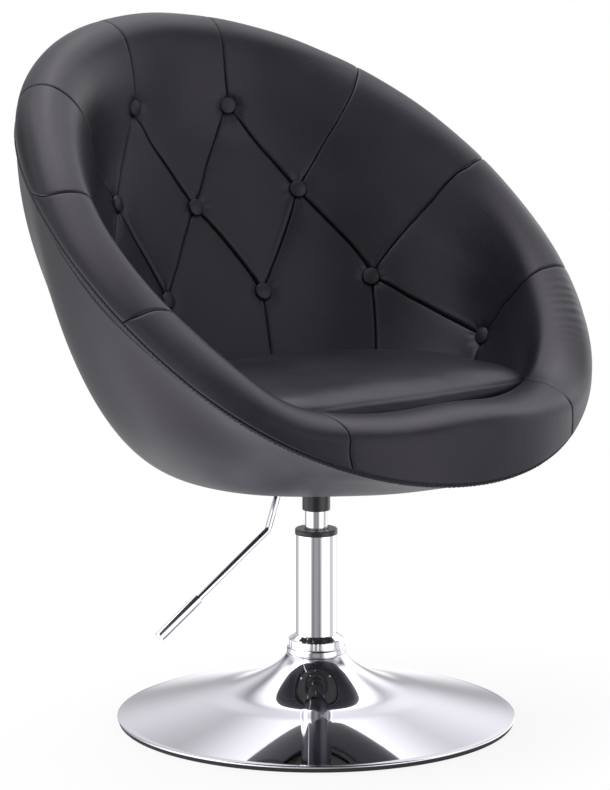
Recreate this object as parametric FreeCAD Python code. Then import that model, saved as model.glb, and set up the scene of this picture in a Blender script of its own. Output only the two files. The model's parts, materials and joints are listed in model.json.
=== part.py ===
import FreeCAD, Part

import math
import os

from FreeCAD import Rotation, Vector

# Swivelling salon tub chair on a gas-lift column, millimetres.
# Origin on the floor at the column's axis, +Z up, the sitter faces -Y,
# and the lever is on the sitter's right, which is -X.

# ---- Tub: the rim's crest line, round the chair from the front (0) to the back (180) ----
RIM_HALF_WIDTH = 334.0
RIM_HALF_DEPTH = 276.0
RIM_HALF_RISE = 220.0
RIM_CENTRE_Y = 19.0
RIM_CENTRE_Z = 630.0
RIM_SQUARENESS = 4.3          # third harmonic that fills out the shoulders
RIM_SKEW_Y = 6.2
RIM_SKEW_Z = -3.9

# ---- Tub: size of the padded roll, as mean, front-to-back and side-to-end parts ----
ROLL_WIDTH = (78.8, 4.6, 18.1)
ROLL_DROP = (52.4, -16.8, 30.0)      # crest down to the outer seam
ROLL_CROWN = (35.5, -12.0)           # crest down to the inner edge
ROLL_LEAN = (-2.2, -24.8, -19.6, 4.2)  # degrees
LIP_RISE = 22.0                      # the front lip stands this far above the crest line
LIP_REACH = 18.0                     # degrees
LIP_DIP = 10.0                       # and its ends lie this far below it
LIP_DIP_PLACE = 36.0                 # degrees from the front
LIP_DIP_REACH = 11.0                 # degrees
ROLL_SEAMS = (28.1, 68.3, 101.3, 134.4, 167.2)  # degrees from the front, both sides

# ---- Tub: outer bowl below the seam ----
BOWL_FLOOR_Z = 303.0
BOWL_FLOOR_RADIUS = 94.6
BOWL_OPENING_RADIUS = 106.0
BOWL_LOW_FULLNESS = (141.8, 4.6, -107.2)
BOWL_HIGH_FULLNESS = (132.3, -77.6, 96.7)
BOWL_SEAM_SLOPE = (29.6, 48.1, -2.4)  # degrees

# ---- Tub: inner face, from the roll's inner edge down to the seat deck ----
HOLLOW_CONTROL = (282.0, 195.0, -10.0, 385.0, 25.0)  # half width, half depth, y, z, rise
HOLLOW_FLOOR = (170.0, 135.0, -12.0, 352.0)          # half width, half depth, y, z
HOLLOW_FRONT_TRIM = 0.1              # share taken off the control ring at the front corners
PAD_DEPTH_TOP = 36.0
PAD_DEPTH_MIDDLE = 18.0
PAD_DEPTH_BOTTOM = 12.0
PAD_BULGE = 8.0
BACK_PAD_LIMIT = 56.0                # degrees from the front where the tufted pad ends

COVER_THICKNESS = 4.0
OUTER_SHELL_THICKNESS = 7.0
INNER_SHELL_THICKNESS = 8.0
LAYER_GAP = 0.3
ROLL_GAP = 5.4

# ---- Buttons: degrees from the front and fraction of the way down the hollow ----
BUTTON_PLACES = ((165.0, 0.05), (180.0, 0.25), (149.0, 0.20), (164.0, 0.455),
                 (129.5, 0.38), (86.0, 0.42))
BUTTON_RADIUS = 11.5
BUTTON_HEIGHT = 7.0
BUTTON_RIM = 2.5
BUTTON_SHANK_RADIUS = 2.0
ANCHOR_RADIUS = 9.0
ANCHOR_THICKNESS = 1.5

# ---- Seat ----
DECK_THICKNESS = 12.0
DECK_MARGIN = 14.0                   # inside the hollow's floor
BOARD_THICKNESS = 15.0
BOARD_RADIUS = 104.0
BOARD_Z = 315.0
CUSHION_SIDE = ((343.0, 16.0), (346.0, 10.0), (354.0, 6.5), (366.0, 5.0), (384.0, 4.5),
                (404.0, 4.0), (420.0, 4.0), (430.0, 6.0), (437.0, 14.0))     # z, gap to the padding
CUSHION_TOP = ((0.80, 442.0), (0.55, 445.5), (0.27, 447.2), (0.0, 447.2))    # share of its size, z
CUSHION_MIDDLE_Y = -15.0

# ---- Seat plate and its fixings ----
PLATE_SIDE = 150.0
PLATE_CORNER_RADIUS = 15.0
PLATE_THICKNESS = 2.5
DISH_TOP_RADIUS = 58.0
DISH_BOTTOM_RADIUS = 34.0
DISH_FLOOR_Z = 290.0
BOLT_OFFSET = 60.0
BOLT_HOLE_RADIUS = 4.25
TEE_FLANGE_RADIUS = 11.0
TEE_FLANGE_THICKNESS = 1.2
TEE_BARREL_RADIUS = 5.0
TEE_BARREL_LENGTH = 10.0
BOLT_RADIUS = 3.95
BOLT_HEAD_RADIUS = 7.0
BOLT_HEAD_HEIGHT = 4.5
HUB_RADIUS = 16.5
HUB_BOTTOM_Z = 264.6
HUB_TOP_Z = 293.0

# ---- Gas lift ----
CYLINDER_RADIUS = 14.0
CYLINDER_WALL = 1.5
CYLINDER_BOTTOM_Z = 46.0
CYLINDER_TOP_Z = 295.5
TAPER_START_Z = 264.6
TAPER_TOP_RADIUS = 13.1
STROKE = 140.0
ROD_RADIUS = 5.0
ROD_TAIL_RADIUS = 4.0
ROD_END_Z = 12.5
RUNNING_GAP = 0.05
GLAND_HEIGHT = 13.0
PISTON_Z = CYLINDER_BOTTOM_Z + GLAND_HEIGHT + STROKE + 1.0
PISTON_HEIGHT = 12.0
SEAL_GROOVE = 1.5
BEARING_HEIGHT = 8.0
BEARING_RADIUS = 12.0
BEARING_WASHER_HEIGHT = 2.0
BALL_RADIUS = 2.0
BALL_RING_RADIUS = 8.6
BALL_STEP = 36                       # degrees
BUFFER_RADII = (10.0, 11.0)
CLIP_HEIGHT = 1.2
COLLAR_BOTTOM_Z = 263.7
COLLAR_RADIUS = 17.2
RELEASE_PIN_RADIUS = 3.4
RELEASE_PIN_TOP_Z = 299.9
RELEASE_PIN_LENGTH = 24.0

# ---- Lever ----
LEVER_RADIUS = 4.0
LEVER_GRIP_RADIUS = 6.2
LEVER_HEIGHT_Z = 304.05
LEVER_PIVOT_X = -40.0
LEVER_KNEE = (-56.1, LEVER_HEIGHT_Z)
LEVER_ELBOW = (-76.3, 248.2)
LEVER_TIP = (-241.5, 141.4)
LEVER_BEND_RADIUS = 11.0
GRIP_LENGTH = 71.0
PIVOT_PIN_RADIUS = 2.0

# ---- Base and column ----
BASE_RADIUS = 246.5
BASE_SHEET = 1.5
TRUMPET = ((36.4, 84.8), (39.4, 79.0), (45.6, 71.6), (55.0, 64.5), (75.0, 54.0),
           (110.0, 39.5), (160.0, 24.5), (210.0, 13.0), (240.0, 8.3))
FLOOR_RING_OUTER = 244.5
FLOOR_RING_INNER = 229.0
FLOOR_RING_HEIGHT = 5.0
SLEEVE_RADIUS = 25.0
SLEEVE_WALL = 1.8
SLEEVE_BOTTOM_Z = 20.0
SLEEVE_TOP_Z = 238.5
FOOT_THICKNESS = 6.0
CAP_TOP_Z = 240.3
CAP_RADIUS = 26.2
BUSH_LENGTH = 85.0
HUB_TUBE_WALL = 3.0
HUB_TUBE_TOP_Z = 80.0
BALLAST_LEVELS = (3.5, 8.0)
BALLAST_HOLE_RADIUS = 14.0
BALLAST_HOLE_RING = 120.0
COLLAR_RING = ((35.8, 84.8), (36.5, 85.6), (36.5, 91.0), (35.6, 92.4), (34.6, 92.8), (34.6, 93.6),
               (34.2, 101.6), (32.8, 103.2), (29.2, 105.6), (26.6, 107.6))
COLLAR_BOTTOM = 84.8
COLLAR_TOP = 108.2
SPIGOT_BOTTOM = 78.0
KNURL_COUNT = 40
KNURL_RADIUS = 1.1
KNURL_RING = 34.9
KNURL_LEVELS = (93.4, 102.4)


def save(name, shape):
    """Write one sub-part to its own STEP file."""
    if not shape.isValid():
        raise RuntimeError(name + " is not a valid solid")
    shape.exportStep("parts/" + name + ".step")


def revolve(points):
    """Turn a closed outline of (radius, z) points about the column's axis."""
    corners = [Vector(r, 0, z) for r, z in points]
    face = Part.Face(Part.makePolygon(corners + corners[:1]))
    return face.revolve(Vector(0, 0, 0), Vector(0, 0, 1), 360)


def tube(inner, outer, low, high):
    """Ring or sleeve about the column's axis."""
    return revolve(((inner, low), (outer, low), (outer, high), (inner, high)))


def rod(radius, low, high, x=0.0, y=0.0):
    return Part.makeCylinder(radius, high - low, Vector(x, y, low))


def harmonics(parts, angle):
    """Mean plus cosine series of a size that varies round the rim."""
    turn = math.radians(angle)
    return sum(part * math.cos(order * turn) for order, part in enumerate(parts))


# ---- Tub surfaces ----

def rim_crest(angle):
    """Point on the rim's crest."""
    turn = math.radians(angle)
    return Vector(
        RIM_HALF_WIDTH * math.sin(turn) + RIM_SQUARENESS * math.sin(3 * turn),
        RIM_CENTRE_Y - RIM_HALF_DEPTH * math.cos(turn) + RIM_SKEW_Y * math.cos(2 * turn),
        RIM_CENTRE_Z - RIM_HALF_RISE * math.cos(turn) + RIM_SKEW_Z * math.cos(2 * turn))


def roll_axes(angle):
    """Outward and upward directions of the roll's section, square to the rim."""
    along = (rim_crest(angle + 0.5) - rim_crest(angle - 0.5)).normalize()
    tilt = math.atan2(RIM_HALF_RISE, RIM_HALF_DEPTH)
    rim_normal = Vector(0, -math.sin(tilt), math.cos(tilt))
    out = along.cross(rim_normal).normalize()
    up = out.cross(along).normalize()
    lean = math.radians(harmonics(ROLL_LEAN, angle))
    return (out * math.cos(lean) - up * math.sin(lean),
            up * math.cos(lean) + out * math.sin(lean))


def roll_point(angle, across, drop):
    """Point of the roll's section: across is +1 outside to -1 inside."""
    out, up = roll_axes(angle)
    half = harmonics(ROLL_WIDTH, angle) / 2
    return rim_crest(angle) + out * (half * across) - up * drop


def seam_point(angle):
    """Outer seam, where the roll meets the outer cover."""
    return roll_point(angle, 1, harmonics(ROLL_DROP, angle))


def crown_drop(angle):
    return min(harmonics(ROLL_CROWN, angle), harmonics(ROLL_DROP, angle) - 2)


def lip_rise(angle):
    """Height of the front lip above the crest line."""
    off = (angle + 180) % 360 - 180
    return LIP_RISE * math.exp(-(off / LIP_REACH) ** 2)


def lip_dip(angle):
    """Depth of the crown below the crest line beside the lip."""
    off = abs((angle + 180) % 360 - 180)
    return LIP_DIP * math.exp(-((off - LIP_DIP_PLACE) / LIP_DIP_REACH) ** 2)


def inner_point(angle):
    """Inner edge of the roll."""
    return roll_point(angle, -1, crown_drop(angle) - lip_rise(angle))


def bezier(points, t):
    """Point on the Bezier curve of these control points."""
    while len(points) > 1:
        points = [a * (1 - t) + b * t for a, b in zip(points, points[1:])]
    return points[0]


def bowl_point(angle, t):
    """Outer face of the bowl, from its floor (0) up to the outer seam (1)."""
    seam = seam_point(angle)
    away = Vector(seam.x, seam.y, 0).normalize()
    floor = away * BOWL_FLOOR_RADIUS + Vector(0, 0, BOWL_FLOOR_Z)
    slope = math.radians(harmonics(BOWL_SEAM_SLOPE, angle))
    rise = Vector(0, 0, math.cos(slope)) + away * math.sin(slope)
    low = floor + away * harmonics(BOWL_LOW_FULLNESS, angle)
    high = seam - rise * harmonics(BOWL_HIGH_FULLNESS, angle)
    return bezier([floor, low, high, seam], t)


def hollow_point(angle, t):
    """Inner face of the tub, from the roll (0) down to the seat deck (1)."""
    turn = math.radians(angle)
    trim = 1 - HOLLOW_FRONT_TRIM * math.sin(2 * turn) ** 2 * (1 + math.cos(turn)) / 2
    wide, deep, y, z, rise = HOLLOW_CONTROL
    wide, deep = wide * trim, deep * trim
    control = Vector(wide * math.sin(turn), y - deep * math.cos(turn), z - rise * math.cos(turn))
    wide, deep, y, z = HOLLOW_FLOOR
    floor = Vector(wide * math.sin(turn), y - deep * math.cos(turn), z)
    return bezier([inner_point(angle), control, floor], t)


def outward(surface, angle, t):
    """Unit normal of a tub surface, pointing away from the sitter."""
    around = surface(angle + 0.5, t) - surface(angle - 0.5, t)
    step = 0.02 if t < 0.5 else -0.02
    along = (surface(angle, t + step) - surface(angle, t)) * (1 if step > 0 else -1)
    normal = around.cross(along).normalize()
    middle = Vector(0, -20, 560)
    return normal if normal.dot(surface(angle, t) - middle) > 0 else -normal


def closed_curve(points):
    """Smooth closed curve; even parameters let every ring of a loft share its knots."""
    curve = Part.BSplineCurve()
    curve.interpolate(Points=points, PeriodicFlag=True, Parameters=list(range(len(points) + 1)))
    return Part.Wire([curve.toShape()])


def layer_ring(surface, t, depth, from_inside):
    """Closed curve round the tub, depth behind a surface at height t.

    At the surface's top edge the depth is measured along the roll's underside."""
    points = []
    for angle in range(0, 360, 12):
        seam, inner = seam_point(angle), inner_point(angle)
        across = (seam - inner).normalize() * (1 if from_inside else -1)
        side = outward(surface, angle, t) * (1 if from_inside else -1)
        top = (1 - t) if from_inside else t
        weight = max(0.0, (top - 0.75) / 0.25)
        direction = (side * (1 - weight) + across * weight).normalize()
        under = roll_axes(angle)[1] * (-ROLL_GAP * weight)
        points.append(surface(angle, t) + direction * depth + under)
    return closed_curve(points)


def skin(rings):
    return Part.makeLoft(rings, False, False).Faces


def band(first, second):
    return Part.makeLoft([first, second], False, True).Faces


def ring_shell(outer, inner):
    """Solid wall between two families of closed curves, both listed the same way."""
    faces = skin(outer) + skin(inner)
    faces += band(outer[0], inner[0]) + band(outer[-1], inner[-1])
    shell = Part.makeShell(faces)
    shell.sewShape()
    solid = Part.makeSolid(shell)
    solid.fix(0.01, 0.01, 0.01)
    if solid.Volume < 0:
        solid.reverse()
    return solid


def bowl_layer(near, far):
    """Layer of the outer bowl between two depths behind its face."""
    levels = (0.0, 0.2, 0.4, 0.6, 0.8, 1.0)
    return ring_shell([layer_ring(bowl_point, t, near, False) for t in levels],
                      [layer_ring(bowl_point, t, far, False) for t in levels])


def pad_depth(t):
    """Padding depth over the inner shell at height t of the hollow."""
    return bezier([PAD_DEPTH_TOP, 2 * PAD_DEPTH_MIDDLE - (PAD_DEPTH_TOP + PAD_DEPTH_BOTTOM) / 2,
                   PAD_DEPTH_BOTTOM], t)


def hollow_layer(near, far):
    """Layer behind the hollow's face; near and far are functions of height."""
    levels = (0.0, 0.2, 0.4, 0.6, 0.8, 1.0)
    return ring_shell([layer_ring(hollow_point, t, near(t), True) for t in levels],
                      [layer_ring(hollow_point, t, far(t), True) for t in levels])


def button_places():
    """Every button: its point on the hollow's face and the direction behind it."""
    places = []
    for angle, t in BUTTON_PLACES:
        for side in ((1,) if angle == 180.0 else (1, -1)):
            turned = angle * side
            places.append((hollow_point(turned, t), outward(hollow_point, turned, t), t))
    return places


def drill_buttons(shape, pocket):
    """Shank holes, and pockets for the heads where the shape is the padding."""
    for point, behind, t in button_places():
        start = point - behind * 30
        shape = shape.cut(Part.makeCylinder(BUTTON_SHANK_RADIUS + 0.1, 130, start, behind))
        if pocket:
            shape = shape.cut(Part.makeCylinder(BUTTON_RADIUS + 1.0, 30, start, behind))
    return shape


# ---- Sub-parts of the tub ----

def outer_cover():
    """Leatherette outer cover with its thin foam, open under the seat plate."""
    return bowl_layer(0.0, COVER_THICKNESS).cut(rod(BOWL_OPENING_RADIUS, 200, 330))


def outer_shell():
    """Moulded outer shell that gives the bowl its form."""
    near = COVER_THICKNESS
    wall = bowl_layer(near, near + OUTER_SHELL_THICKNESS)
    return wall.cut(rod(BOWL_OPENING_RADIUS, 200, 330))


def inner_shell():
    """Moulded inner shell behind the padding, drilled for the buttons."""
    wall = hollow_layer(lambda t: pad_depth(t) + LAYER_GAP,
                        lambda t: pad_depth(t) + LAYER_GAP + INNER_SHELL_THICKNESS)
    return drill_buttons(wall, False)


def padding():
    """Whole ring of padding inside the hollow."""
    return hollow_layer(lambda t: -pad_bulge(t), pad_depth)


def sector(limit, front):
    """Block that keeps the front or the back of the tub, split by upright planes."""
    reach = 900.0
    turn = math.radians(limit)
    side = Vector(reach * math.sin(turn), -reach * math.cos(turn), 0)
    mirror = Vector(-side.x, side.y, 0)
    far = Vector(0, -2 * reach if front else 2 * reach, 0)
    corners = [Vector(0, -10, 0), side, far + Vector(reach, 0, 0),
               far - Vector(reach, 0, 0), mirror]
    face = Part.Face(Part.makePolygon(corners + corners[:1]))
    return face.extrude(Vector(0, 0, 1000))


def back_pad(ring):
    """Tufted padding of the back and sides."""
    return drill_buttons(ring.cut(sector(BACK_PAD_LIMIT, True)), True)


def front_pad(ring):
    """Padding behind the front lip."""
    return ring.common(sector(BACK_PAD_LIMIT - 0.1, True))


def roll_section(angle):
    """Closed outline of the roll: over the crest, back along its underside."""
    crown = crown_drop(angle)
    drop = harmonics(ROLL_DROP, angle)
    edge = crown - lip_rise(angle) + lip_dip(angle)
    points = [seam_point(angle), roll_point(angle, 1, (drop + edge) / 2)]
    for degrees in (0, 30, 60, 90, 120, 150, 180):
        turn = math.radians(degrees)
        dip = lip_dip(angle) * (math.sin(turn) if degrees > 90 else 1)
        top = lip_rise(angle) - dip
        points.append(roll_point(angle, math.cos(turn), crown * (1 - math.sin(turn)) - top))
    curve = Part.BSplineCurve()
    curve.interpolate(Points=points)
    return Part.Wire([curve.toShape(), Part.makeLine(points[-1], points[0])])


def roll_panel(start, end):
    """One sewn panel of the padded roll between two radial seams."""
    count = max(3, round((end - start) / 11) + 1)
    angles = [start + (end - start) * i / (count - 1) for i in range(count)]
    return Part.makeLoft([roll_section(angle) for angle in angles], True, False)


def roll_panels():
    """Names and solids of the ten panels, front, sides and top."""
    panels = {"roll_panel_front": roll_panel(-ROLL_SEAMS[0], ROLL_SEAMS[0]),
              "roll_panel_top": roll_panel(ROLL_SEAMS[-1], 360 - ROLL_SEAMS[-1])}
    for index, (start, end) in enumerate(zip(ROLL_SEAMS, ROLL_SEAMS[1:]), 1):
        panels["roll_panel_left_%d" % index] = roll_panel(start, end)
        panels["roll_panel_right_%d" % index] = roll_panel(-end, -start)
    return panels


def placed(shape, point, direction):
    """Move a shape made up the Z axis to a point, turned to a direction."""
    moved = shape.copy()
    moved.Placement = FreeCAD.Placement(point, Rotation(Vector(0, 0, 1), direction))
    return moved


def back_buttons():
    """Covered buttons with their shanks."""
    buttons = []
    for point, behind, t in button_places():
        edge, rim = BUTTON_RADIUS, -BUTTON_RIM
        crown = BUTTON_HEIGHT - BUTTON_RIM
        radius = (edge ** 2 + crown ** 2) / (2 * crown)
        half = math.asin(edge / radius) / 2
        middle = Vector(radius * math.sin(half), 0, rim - crown + radius * (1 - math.cos(half)))
        dome = Part.Arc(Vector(edge, 0, rim), middle, Vector(0, 0, -BUTTON_HEIGHT)).toShape()
        rest = Part.makePolygon([Vector(0, 0, -BUTTON_HEIGHT), Vector(0, 0, 0),
                                 Vector(edge - 1.5, 0, 0), Vector(edge, 0, rim)])
        head = Part.Face(Part.Wire(dome.Edges + rest.Edges)).revolve(
            Vector(0, 0, 0), Vector(0, 0, 1), 360)
        length = pad_depth(t) + LAYER_GAP + INNER_SHELL_THICKNESS
        shank = Part.makeCylinder(BUTTON_SHANK_RADIUS, length + 1)
        buttons.append(placed(head.fuse(shank), point, behind))
    return Part.makeCompound(buttons)


def button_anchors():
    """Washers behind the inner shell that hold the buttons down."""
    anchors = []
    for point, behind, t in button_places():
        depth = pad_depth(t) + LAYER_GAP + INNER_SHELL_THICKNESS + 1.5
        washer = Part.makeCylinder(ANCHOR_RADIUS, ANCHOR_THICKNESS)
        anchors.append(placed(washer, point + behind * depth, behind))
    return Part.makeCompound(anchors)


# ---- Seat ----

def pad_bulge(t):
    """Swell of the padding off the hollow's face at height t."""
    return PAD_BULGE * min(1.0, 4 * t * (1.25 - t))


def pad_face(angle, t, gap):
    """Point this gap off the swollen face of the padding, on the sitter's side."""
    return hollow_point(angle, t) - outward(hollow_point, angle, t) * (pad_bulge(t) + gap)


def cushion_side(angle, level, gap):
    """Point of the cushion's side: off the padding, straight above or below where it ends."""
    low, high = 0.0, 1.0
    if level >= pad_face(angle, low, gap).z:
        high = low
    for _ in range(30):
        middle = (low + high) / 2
        if pad_face(angle, middle, gap).z > level:
            low = middle
        else:
            high = middle
    point = pad_face(angle, high, gap)
    middle = Vector(0, CUSHION_MIDDLE_Y, point.z)
    if level < point.z:
        point += (middle - point).normalize() * gap
    return Vector(point.x, point.y, level)


def cushion_ring(level, gap):
    """Smooth closed curve round the cushion's side at one level."""
    points = [cushion_side(angle, level, gap) for angle in range(0, 360, 12)]
    ring = Part.BSplineCurve()
    ring.interpolate(Points=points, PeriodicFlag=True, Parameters=list(range(len(points) + 1)))
    ring.setNotPeriodic()
    return ring


def seat_cushion():
    """Thick loose cushion that fills the hollow: one skin pulled into shape by its rings."""
    rings = [cushion_ring(level, gap) for level, gap in CUSHION_SIDE]
    rim = rings[-1]
    poles = [ring.getPoles() for ring in rings]
    for share, level in CUSHION_TOP:
        middle = Vector(0, CUSHION_MIDDLE_Y, level)
        poles.append([middle + Vector(p.x, p.y - middle.y, 0) * share for p in rim.getPoles()])
    rows = len(poles)
    surface = Part.BSplineSurface()
    surface.buildFromPolesMultsKnots(
        poles, [4] + [1] * (rows - 4) + [4], rim.getMultiplicities(),
        [float(row) for row in range(rows - 2)], rim.getKnots(), False, False, 3, 3)
    top = surface.toShape()
    foot = min(top.Edges, key=lambda edge: edge.BoundBox.ZMax)
    shell = Part.makeShell([top, Part.Face(Part.Wire([foot]))])
    shell.sewShape()
    solid = Part.makeSolid(shell)
    if solid.Volume < 0:
        solid.reverse()
    return solid


def seat_deck():
    """Plywood deck under the cushion, filling the inner shell's opening."""
    wide, deep, y, z = HOLLOW_FLOOR
    ellipse = Part.Ellipse(Vector(0, y, 0), wide - DECK_MARGIN, deep - DECK_MARGIN).toShape()
    face = Part.Face(Part.Wire([ellipse]))
    return face.extrude(Vector(0, 0, DECK_THICKNESS)).translated(
        Vector(0, 0, BOARD_Z + BOARD_THICKNESS))


def bolt_places():
    return [(BOLT_OFFSET * sx, BOLT_OFFSET * sy) for sx in (-1, 1) for sy in (-1, 1)]


def seat_board():
    """Round plywood board that the seat plate bolts to."""
    board = rod(BOARD_RADIUS, BOARD_Z, BOARD_Z + BOARD_THICKNESS)
    board = board.makeChamfer(2.0, [edge for edge in board.Edges if len(edge.Vertexes) == 1])
    top = BOARD_Z + BOARD_THICKNESS
    for x, y in bolt_places():
        board = board.cut(rod(TEE_BARREL_RADIUS, BOARD_Z - 1, top + 1, x, y))
        board = board.cut(rod(TEE_FLANGE_RADIUS, top - TEE_FLANGE_THICKNESS, top + 1, x, y))
    return board


def tee_nuts():
    """Flanged nuts let into the board's top."""
    top = BOARD_Z + BOARD_THICKNESS
    nuts = []
    for x, y in bolt_places():
        flange = rod(TEE_FLANGE_RADIUS, top - TEE_FLANGE_THICKNESS, top, x, y)
        barrel = rod(TEE_BARREL_RADIUS, top - TEE_BARREL_LENGTH, top - 1, x, y)
        thread = rod(BOLT_RADIUS + RUNNING_GAP, top - TEE_BARREL_LENGTH - 2, top + 1, x, y)
        nuts.append(flange.fuse(barrel).cut(thread))
    return Part.makeCompound(nuts)


def plate_bolts():
    """Four hexagon bolts that hold the plate to the board."""
    under = BOARD_Z - PLATE_THICKNESS - 1.6
    bolts = []
    for x, y in bolt_places():
        corners = [Vector(x + BOLT_HEAD_RADIUS * math.cos(math.radians(60 * i)),
                          y + BOLT_HEAD_RADIUS * math.sin(math.radians(60 * i)),
                          under - BOLT_HEAD_HEIGHT) for i in range(6)]
        head = Part.Face(Part.makePolygon(corners + corners[:1])).extrude(
            Vector(0, 0, BOLT_HEAD_HEIGHT))
        bolts.append(head.fuse(rod(BOLT_RADIUS, under - 1, BOARD_Z + BOARD_THICKNESS, x, y)))
    return Part.makeCompound(bolts)


def plate_washers():
    """Split spring washers under the bolt heads."""
    top = BOARD_Z - PLATE_THICKNESS
    washers = []
    for x, y in bolt_places():
        ring = rod(6.8, top - 1.6, top, x, y).cut(rod(4.2, top - 2, top + 1, x, y))
        split = Part.makeBox(8, 0.8, 4, Vector(x, y - 0.4, top - 3))
        washers.append(ring.cut(split))
    return Part.makeCompound(washers)


def seat_plate():
    """Pressed steel plate: flange, dished centre, tapered hub and lever lugs."""
    half = PLATE_SIDE / 2
    flange = Part.makeBox(PLATE_SIDE, PLATE_SIDE, PLATE_THICKNESS,
                          Vector(-half, -half, BOARD_Z - PLATE_THICKNESS))
    upright = [edge for edge in flange.Edges
               if abs(edge.Vertexes[0].Z - edge.Vertexes[1].Z) > 1]
    flange = flange.makeFillet(PLATE_CORNER_RADIUS, upright)
    flange = flange.cut(rod(DISH_TOP_RADIUS, 200, 400))
    top, sheet = BOARD_Z, PLATE_THICKNESS
    dish = revolve(((DISH_TOP_RADIUS + 1, top), (DISH_TOP_RADIUS + 1, top - sheet),
                    (DISH_TOP_RADIUS - 1, top - sheet), (DISH_BOTTOM_RADIUS + 1, DISH_FLOOR_Z - sheet),
                    (HUB_RADIUS - 1, DISH_FLOOR_Z - sheet), (HUB_RADIUS - 1, DISH_FLOOR_Z),
                    (DISH_BOTTOM_RADIUS, DISH_FLOOR_Z), (DISH_TOP_RADIUS - 2, top)))
    hub = revolve(((CYLINDER_RADIUS, HUB_BOTTOM_Z), (HUB_RADIUS, HUB_BOTTOM_Z),
                   (HUB_RADIUS, HUB_TOP_Z), (hub_bore(HUB_TOP_Z), HUB_TOP_Z)))
    plate = flange.fuse([dish, hub])
    for side in (-1, 1):
        lug = Part.makeBox(12, 3, 24, Vector(LEVER_PIVOT_X - 6, side * 7 - 1.5, DISH_FLOOR_Z - 1))
        lug = lug.common(Part.makeBox(400, 400, 400, Vector(-200, -200, top - 3.5 - 400)))
        plate = plate.fuse(lug)
    slot = Part.makeBox(30, 11, 12, Vector(-72, -5.5, LEVER_HEIGHT_Z - LEVER_RADIUS - 3))
    plate = plate.cut(slot)
    plate = plate.cut(pivot_hole(PIVOT_PIN_RADIUS))
    plate = plate.cut(revolve(((0, HUB_BOTTOM_Z - 1), (CYLINDER_RADIUS, HUB_BOTTOM_Z - 1),
                               (CYLINDER_RADIUS, HUB_BOTTOM_Z),
                               (hub_bore(HUB_TOP_Z), HUB_TOP_Z),
                               (hub_bore(HUB_TOP_Z), top), (0, top))))
    for x, y in bolt_places():
        plate = plate.cut(rod(BOLT_HOLE_RADIUS, HUB_BOTTOM_Z, BOARD_Z + 1, x, y))
    return plate.removeSplitter()


def hub_bore(z):
    """Radius of the taper that the gas cylinder seats in."""
    part = (z - TAPER_START_Z) / (CYLINDER_TOP_Z - TAPER_START_Z)
    return CYLINDER_RADIUS + (TAPER_TOP_RADIUS - CYLINDER_RADIUS) * part


def pivot_hole(radius):
    return Part.makeCylinder(radius, 40, Vector(LEVER_PIVOT_X, -20, LEVER_HEIGHT_Z),
                             Vector(0, 1, 0))


# ---- Gas lift ----

def gas_cylinder():
    """Outer cylinder with its tapered head and valve bore."""
    bore = CYLINDER_RADIUS - CYLINDER_WALL
    roof = PISTON_Z + PISTON_HEIGHT + 10
    valve = RELEASE_PIN_RADIUS + RUNNING_GAP
    valve_floor = RELEASE_PIN_TOP_Z - RELEASE_PIN_LENGTH - 5
    return revolve(((bore, CYLINDER_BOTTOM_Z), (CYLINDER_RADIUS, CYLINDER_BOTTOM_Z),
                    (CYLINDER_RADIUS, TAPER_START_Z), (TAPER_TOP_RADIUS, CYLINDER_TOP_Z),
                    (valve, CYLINDER_TOP_Z), (valve, valve_floor), (0, valve_floor),
                    (0, roof), (bore, roof)))


def rod_gland():
    """Sealed guide at the cylinder's mouth."""
    return tube(ROD_RADIUS + RUNNING_GAP, CYLINDER_RADIUS - CYLINDER_WALL,
                CYLINDER_BOTTOM_Z, CYLINDER_BOTTOM_Z + GLAND_HEIGHT)


def cylinder_collar():
    """Black plastic collar over the hub's lower end."""
    return revolve(((CYLINDER_RADIUS + 0.2, COLLAR_BOTTOM_Z), (COLLAR_RADIUS - 0.6, COLLAR_BOTTOM_Z),
                    (COLLAR_RADIUS, COLLAR_BOTTOM_Z + 0.8), (COLLAR_RADIUS, DISH_FLOOR_Z - PLATE_THICKNESS),
                    (HUB_RADIUS, DISH_FLOOR_Z - PLATE_THICKNESS), (HUB_RADIUS, HUB_BOTTOM_Z),
                    (CYLINDER_RADIUS + 0.2, HUB_BOTTOM_Z)))


def piston_rod():
    """Rod with its stepped, grooved tail."""
    shoulder = bearing_z() + BEARING_HEIGHT
    groove = SLEEVE_BOTTOM_Z - 3.5
    tail, deep = ROD_TAIL_RADIUS, ROD_TAIL_RADIUS - 0.8
    return revolve(((0, ROD_END_Z), (tail - 0.6, ROD_END_Z), (tail, ROD_END_Z + 0.6),
                    (tail, groove), (deep, groove), (deep, groove + 1.3), (tail, groove + 1.3),
                    (tail, shoulder), (ROD_RADIUS, shoulder),
                    (ROD_RADIUS, PISTON_Z), (0, PISTON_Z)))


def piston():
    """Piston head with its seal groove."""
    outer = CYLINDER_RADIUS - CYLINDER_WALL - RUNNING_GAP
    low, high = PISTON_Z, PISTON_Z + PISTON_HEIGHT
    middle = (low + high) / 2
    groove = SEAL_GROOVE
    return revolve(((0, low), (outer, low), (outer, middle - groove), (outer - groove, middle - groove),
                    (outer - groove, middle + groove), (outer, middle + groove), (outer, high), (0, high)))


def bearing_z():
    """Top of the column's foot, where the thrust bearing sits."""
    return SLEEVE_BOTTOM_Z + FOOT_THICKNESS


def bearing_washer_lower():
    return tube(ROD_TAIL_RADIUS + 0.5, BEARING_RADIUS, bearing_z(), bearing_z() + BEARING_WASHER_HEIGHT)


def bearing_washer_upper():
    top = bearing_z() + BEARING_HEIGHT
    return tube(ROD_TAIL_RADIUS, BEARING_RADIUS, top - BEARING_WASHER_HEIGHT + 0.1, top)


def bearing_places():
    return [(BALL_RING_RADIUS * math.cos(math.radians(a)), BALL_RING_RADIUS * math.sin(math.radians(a)))
            for a in range(0, 360, BALL_STEP)]


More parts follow.
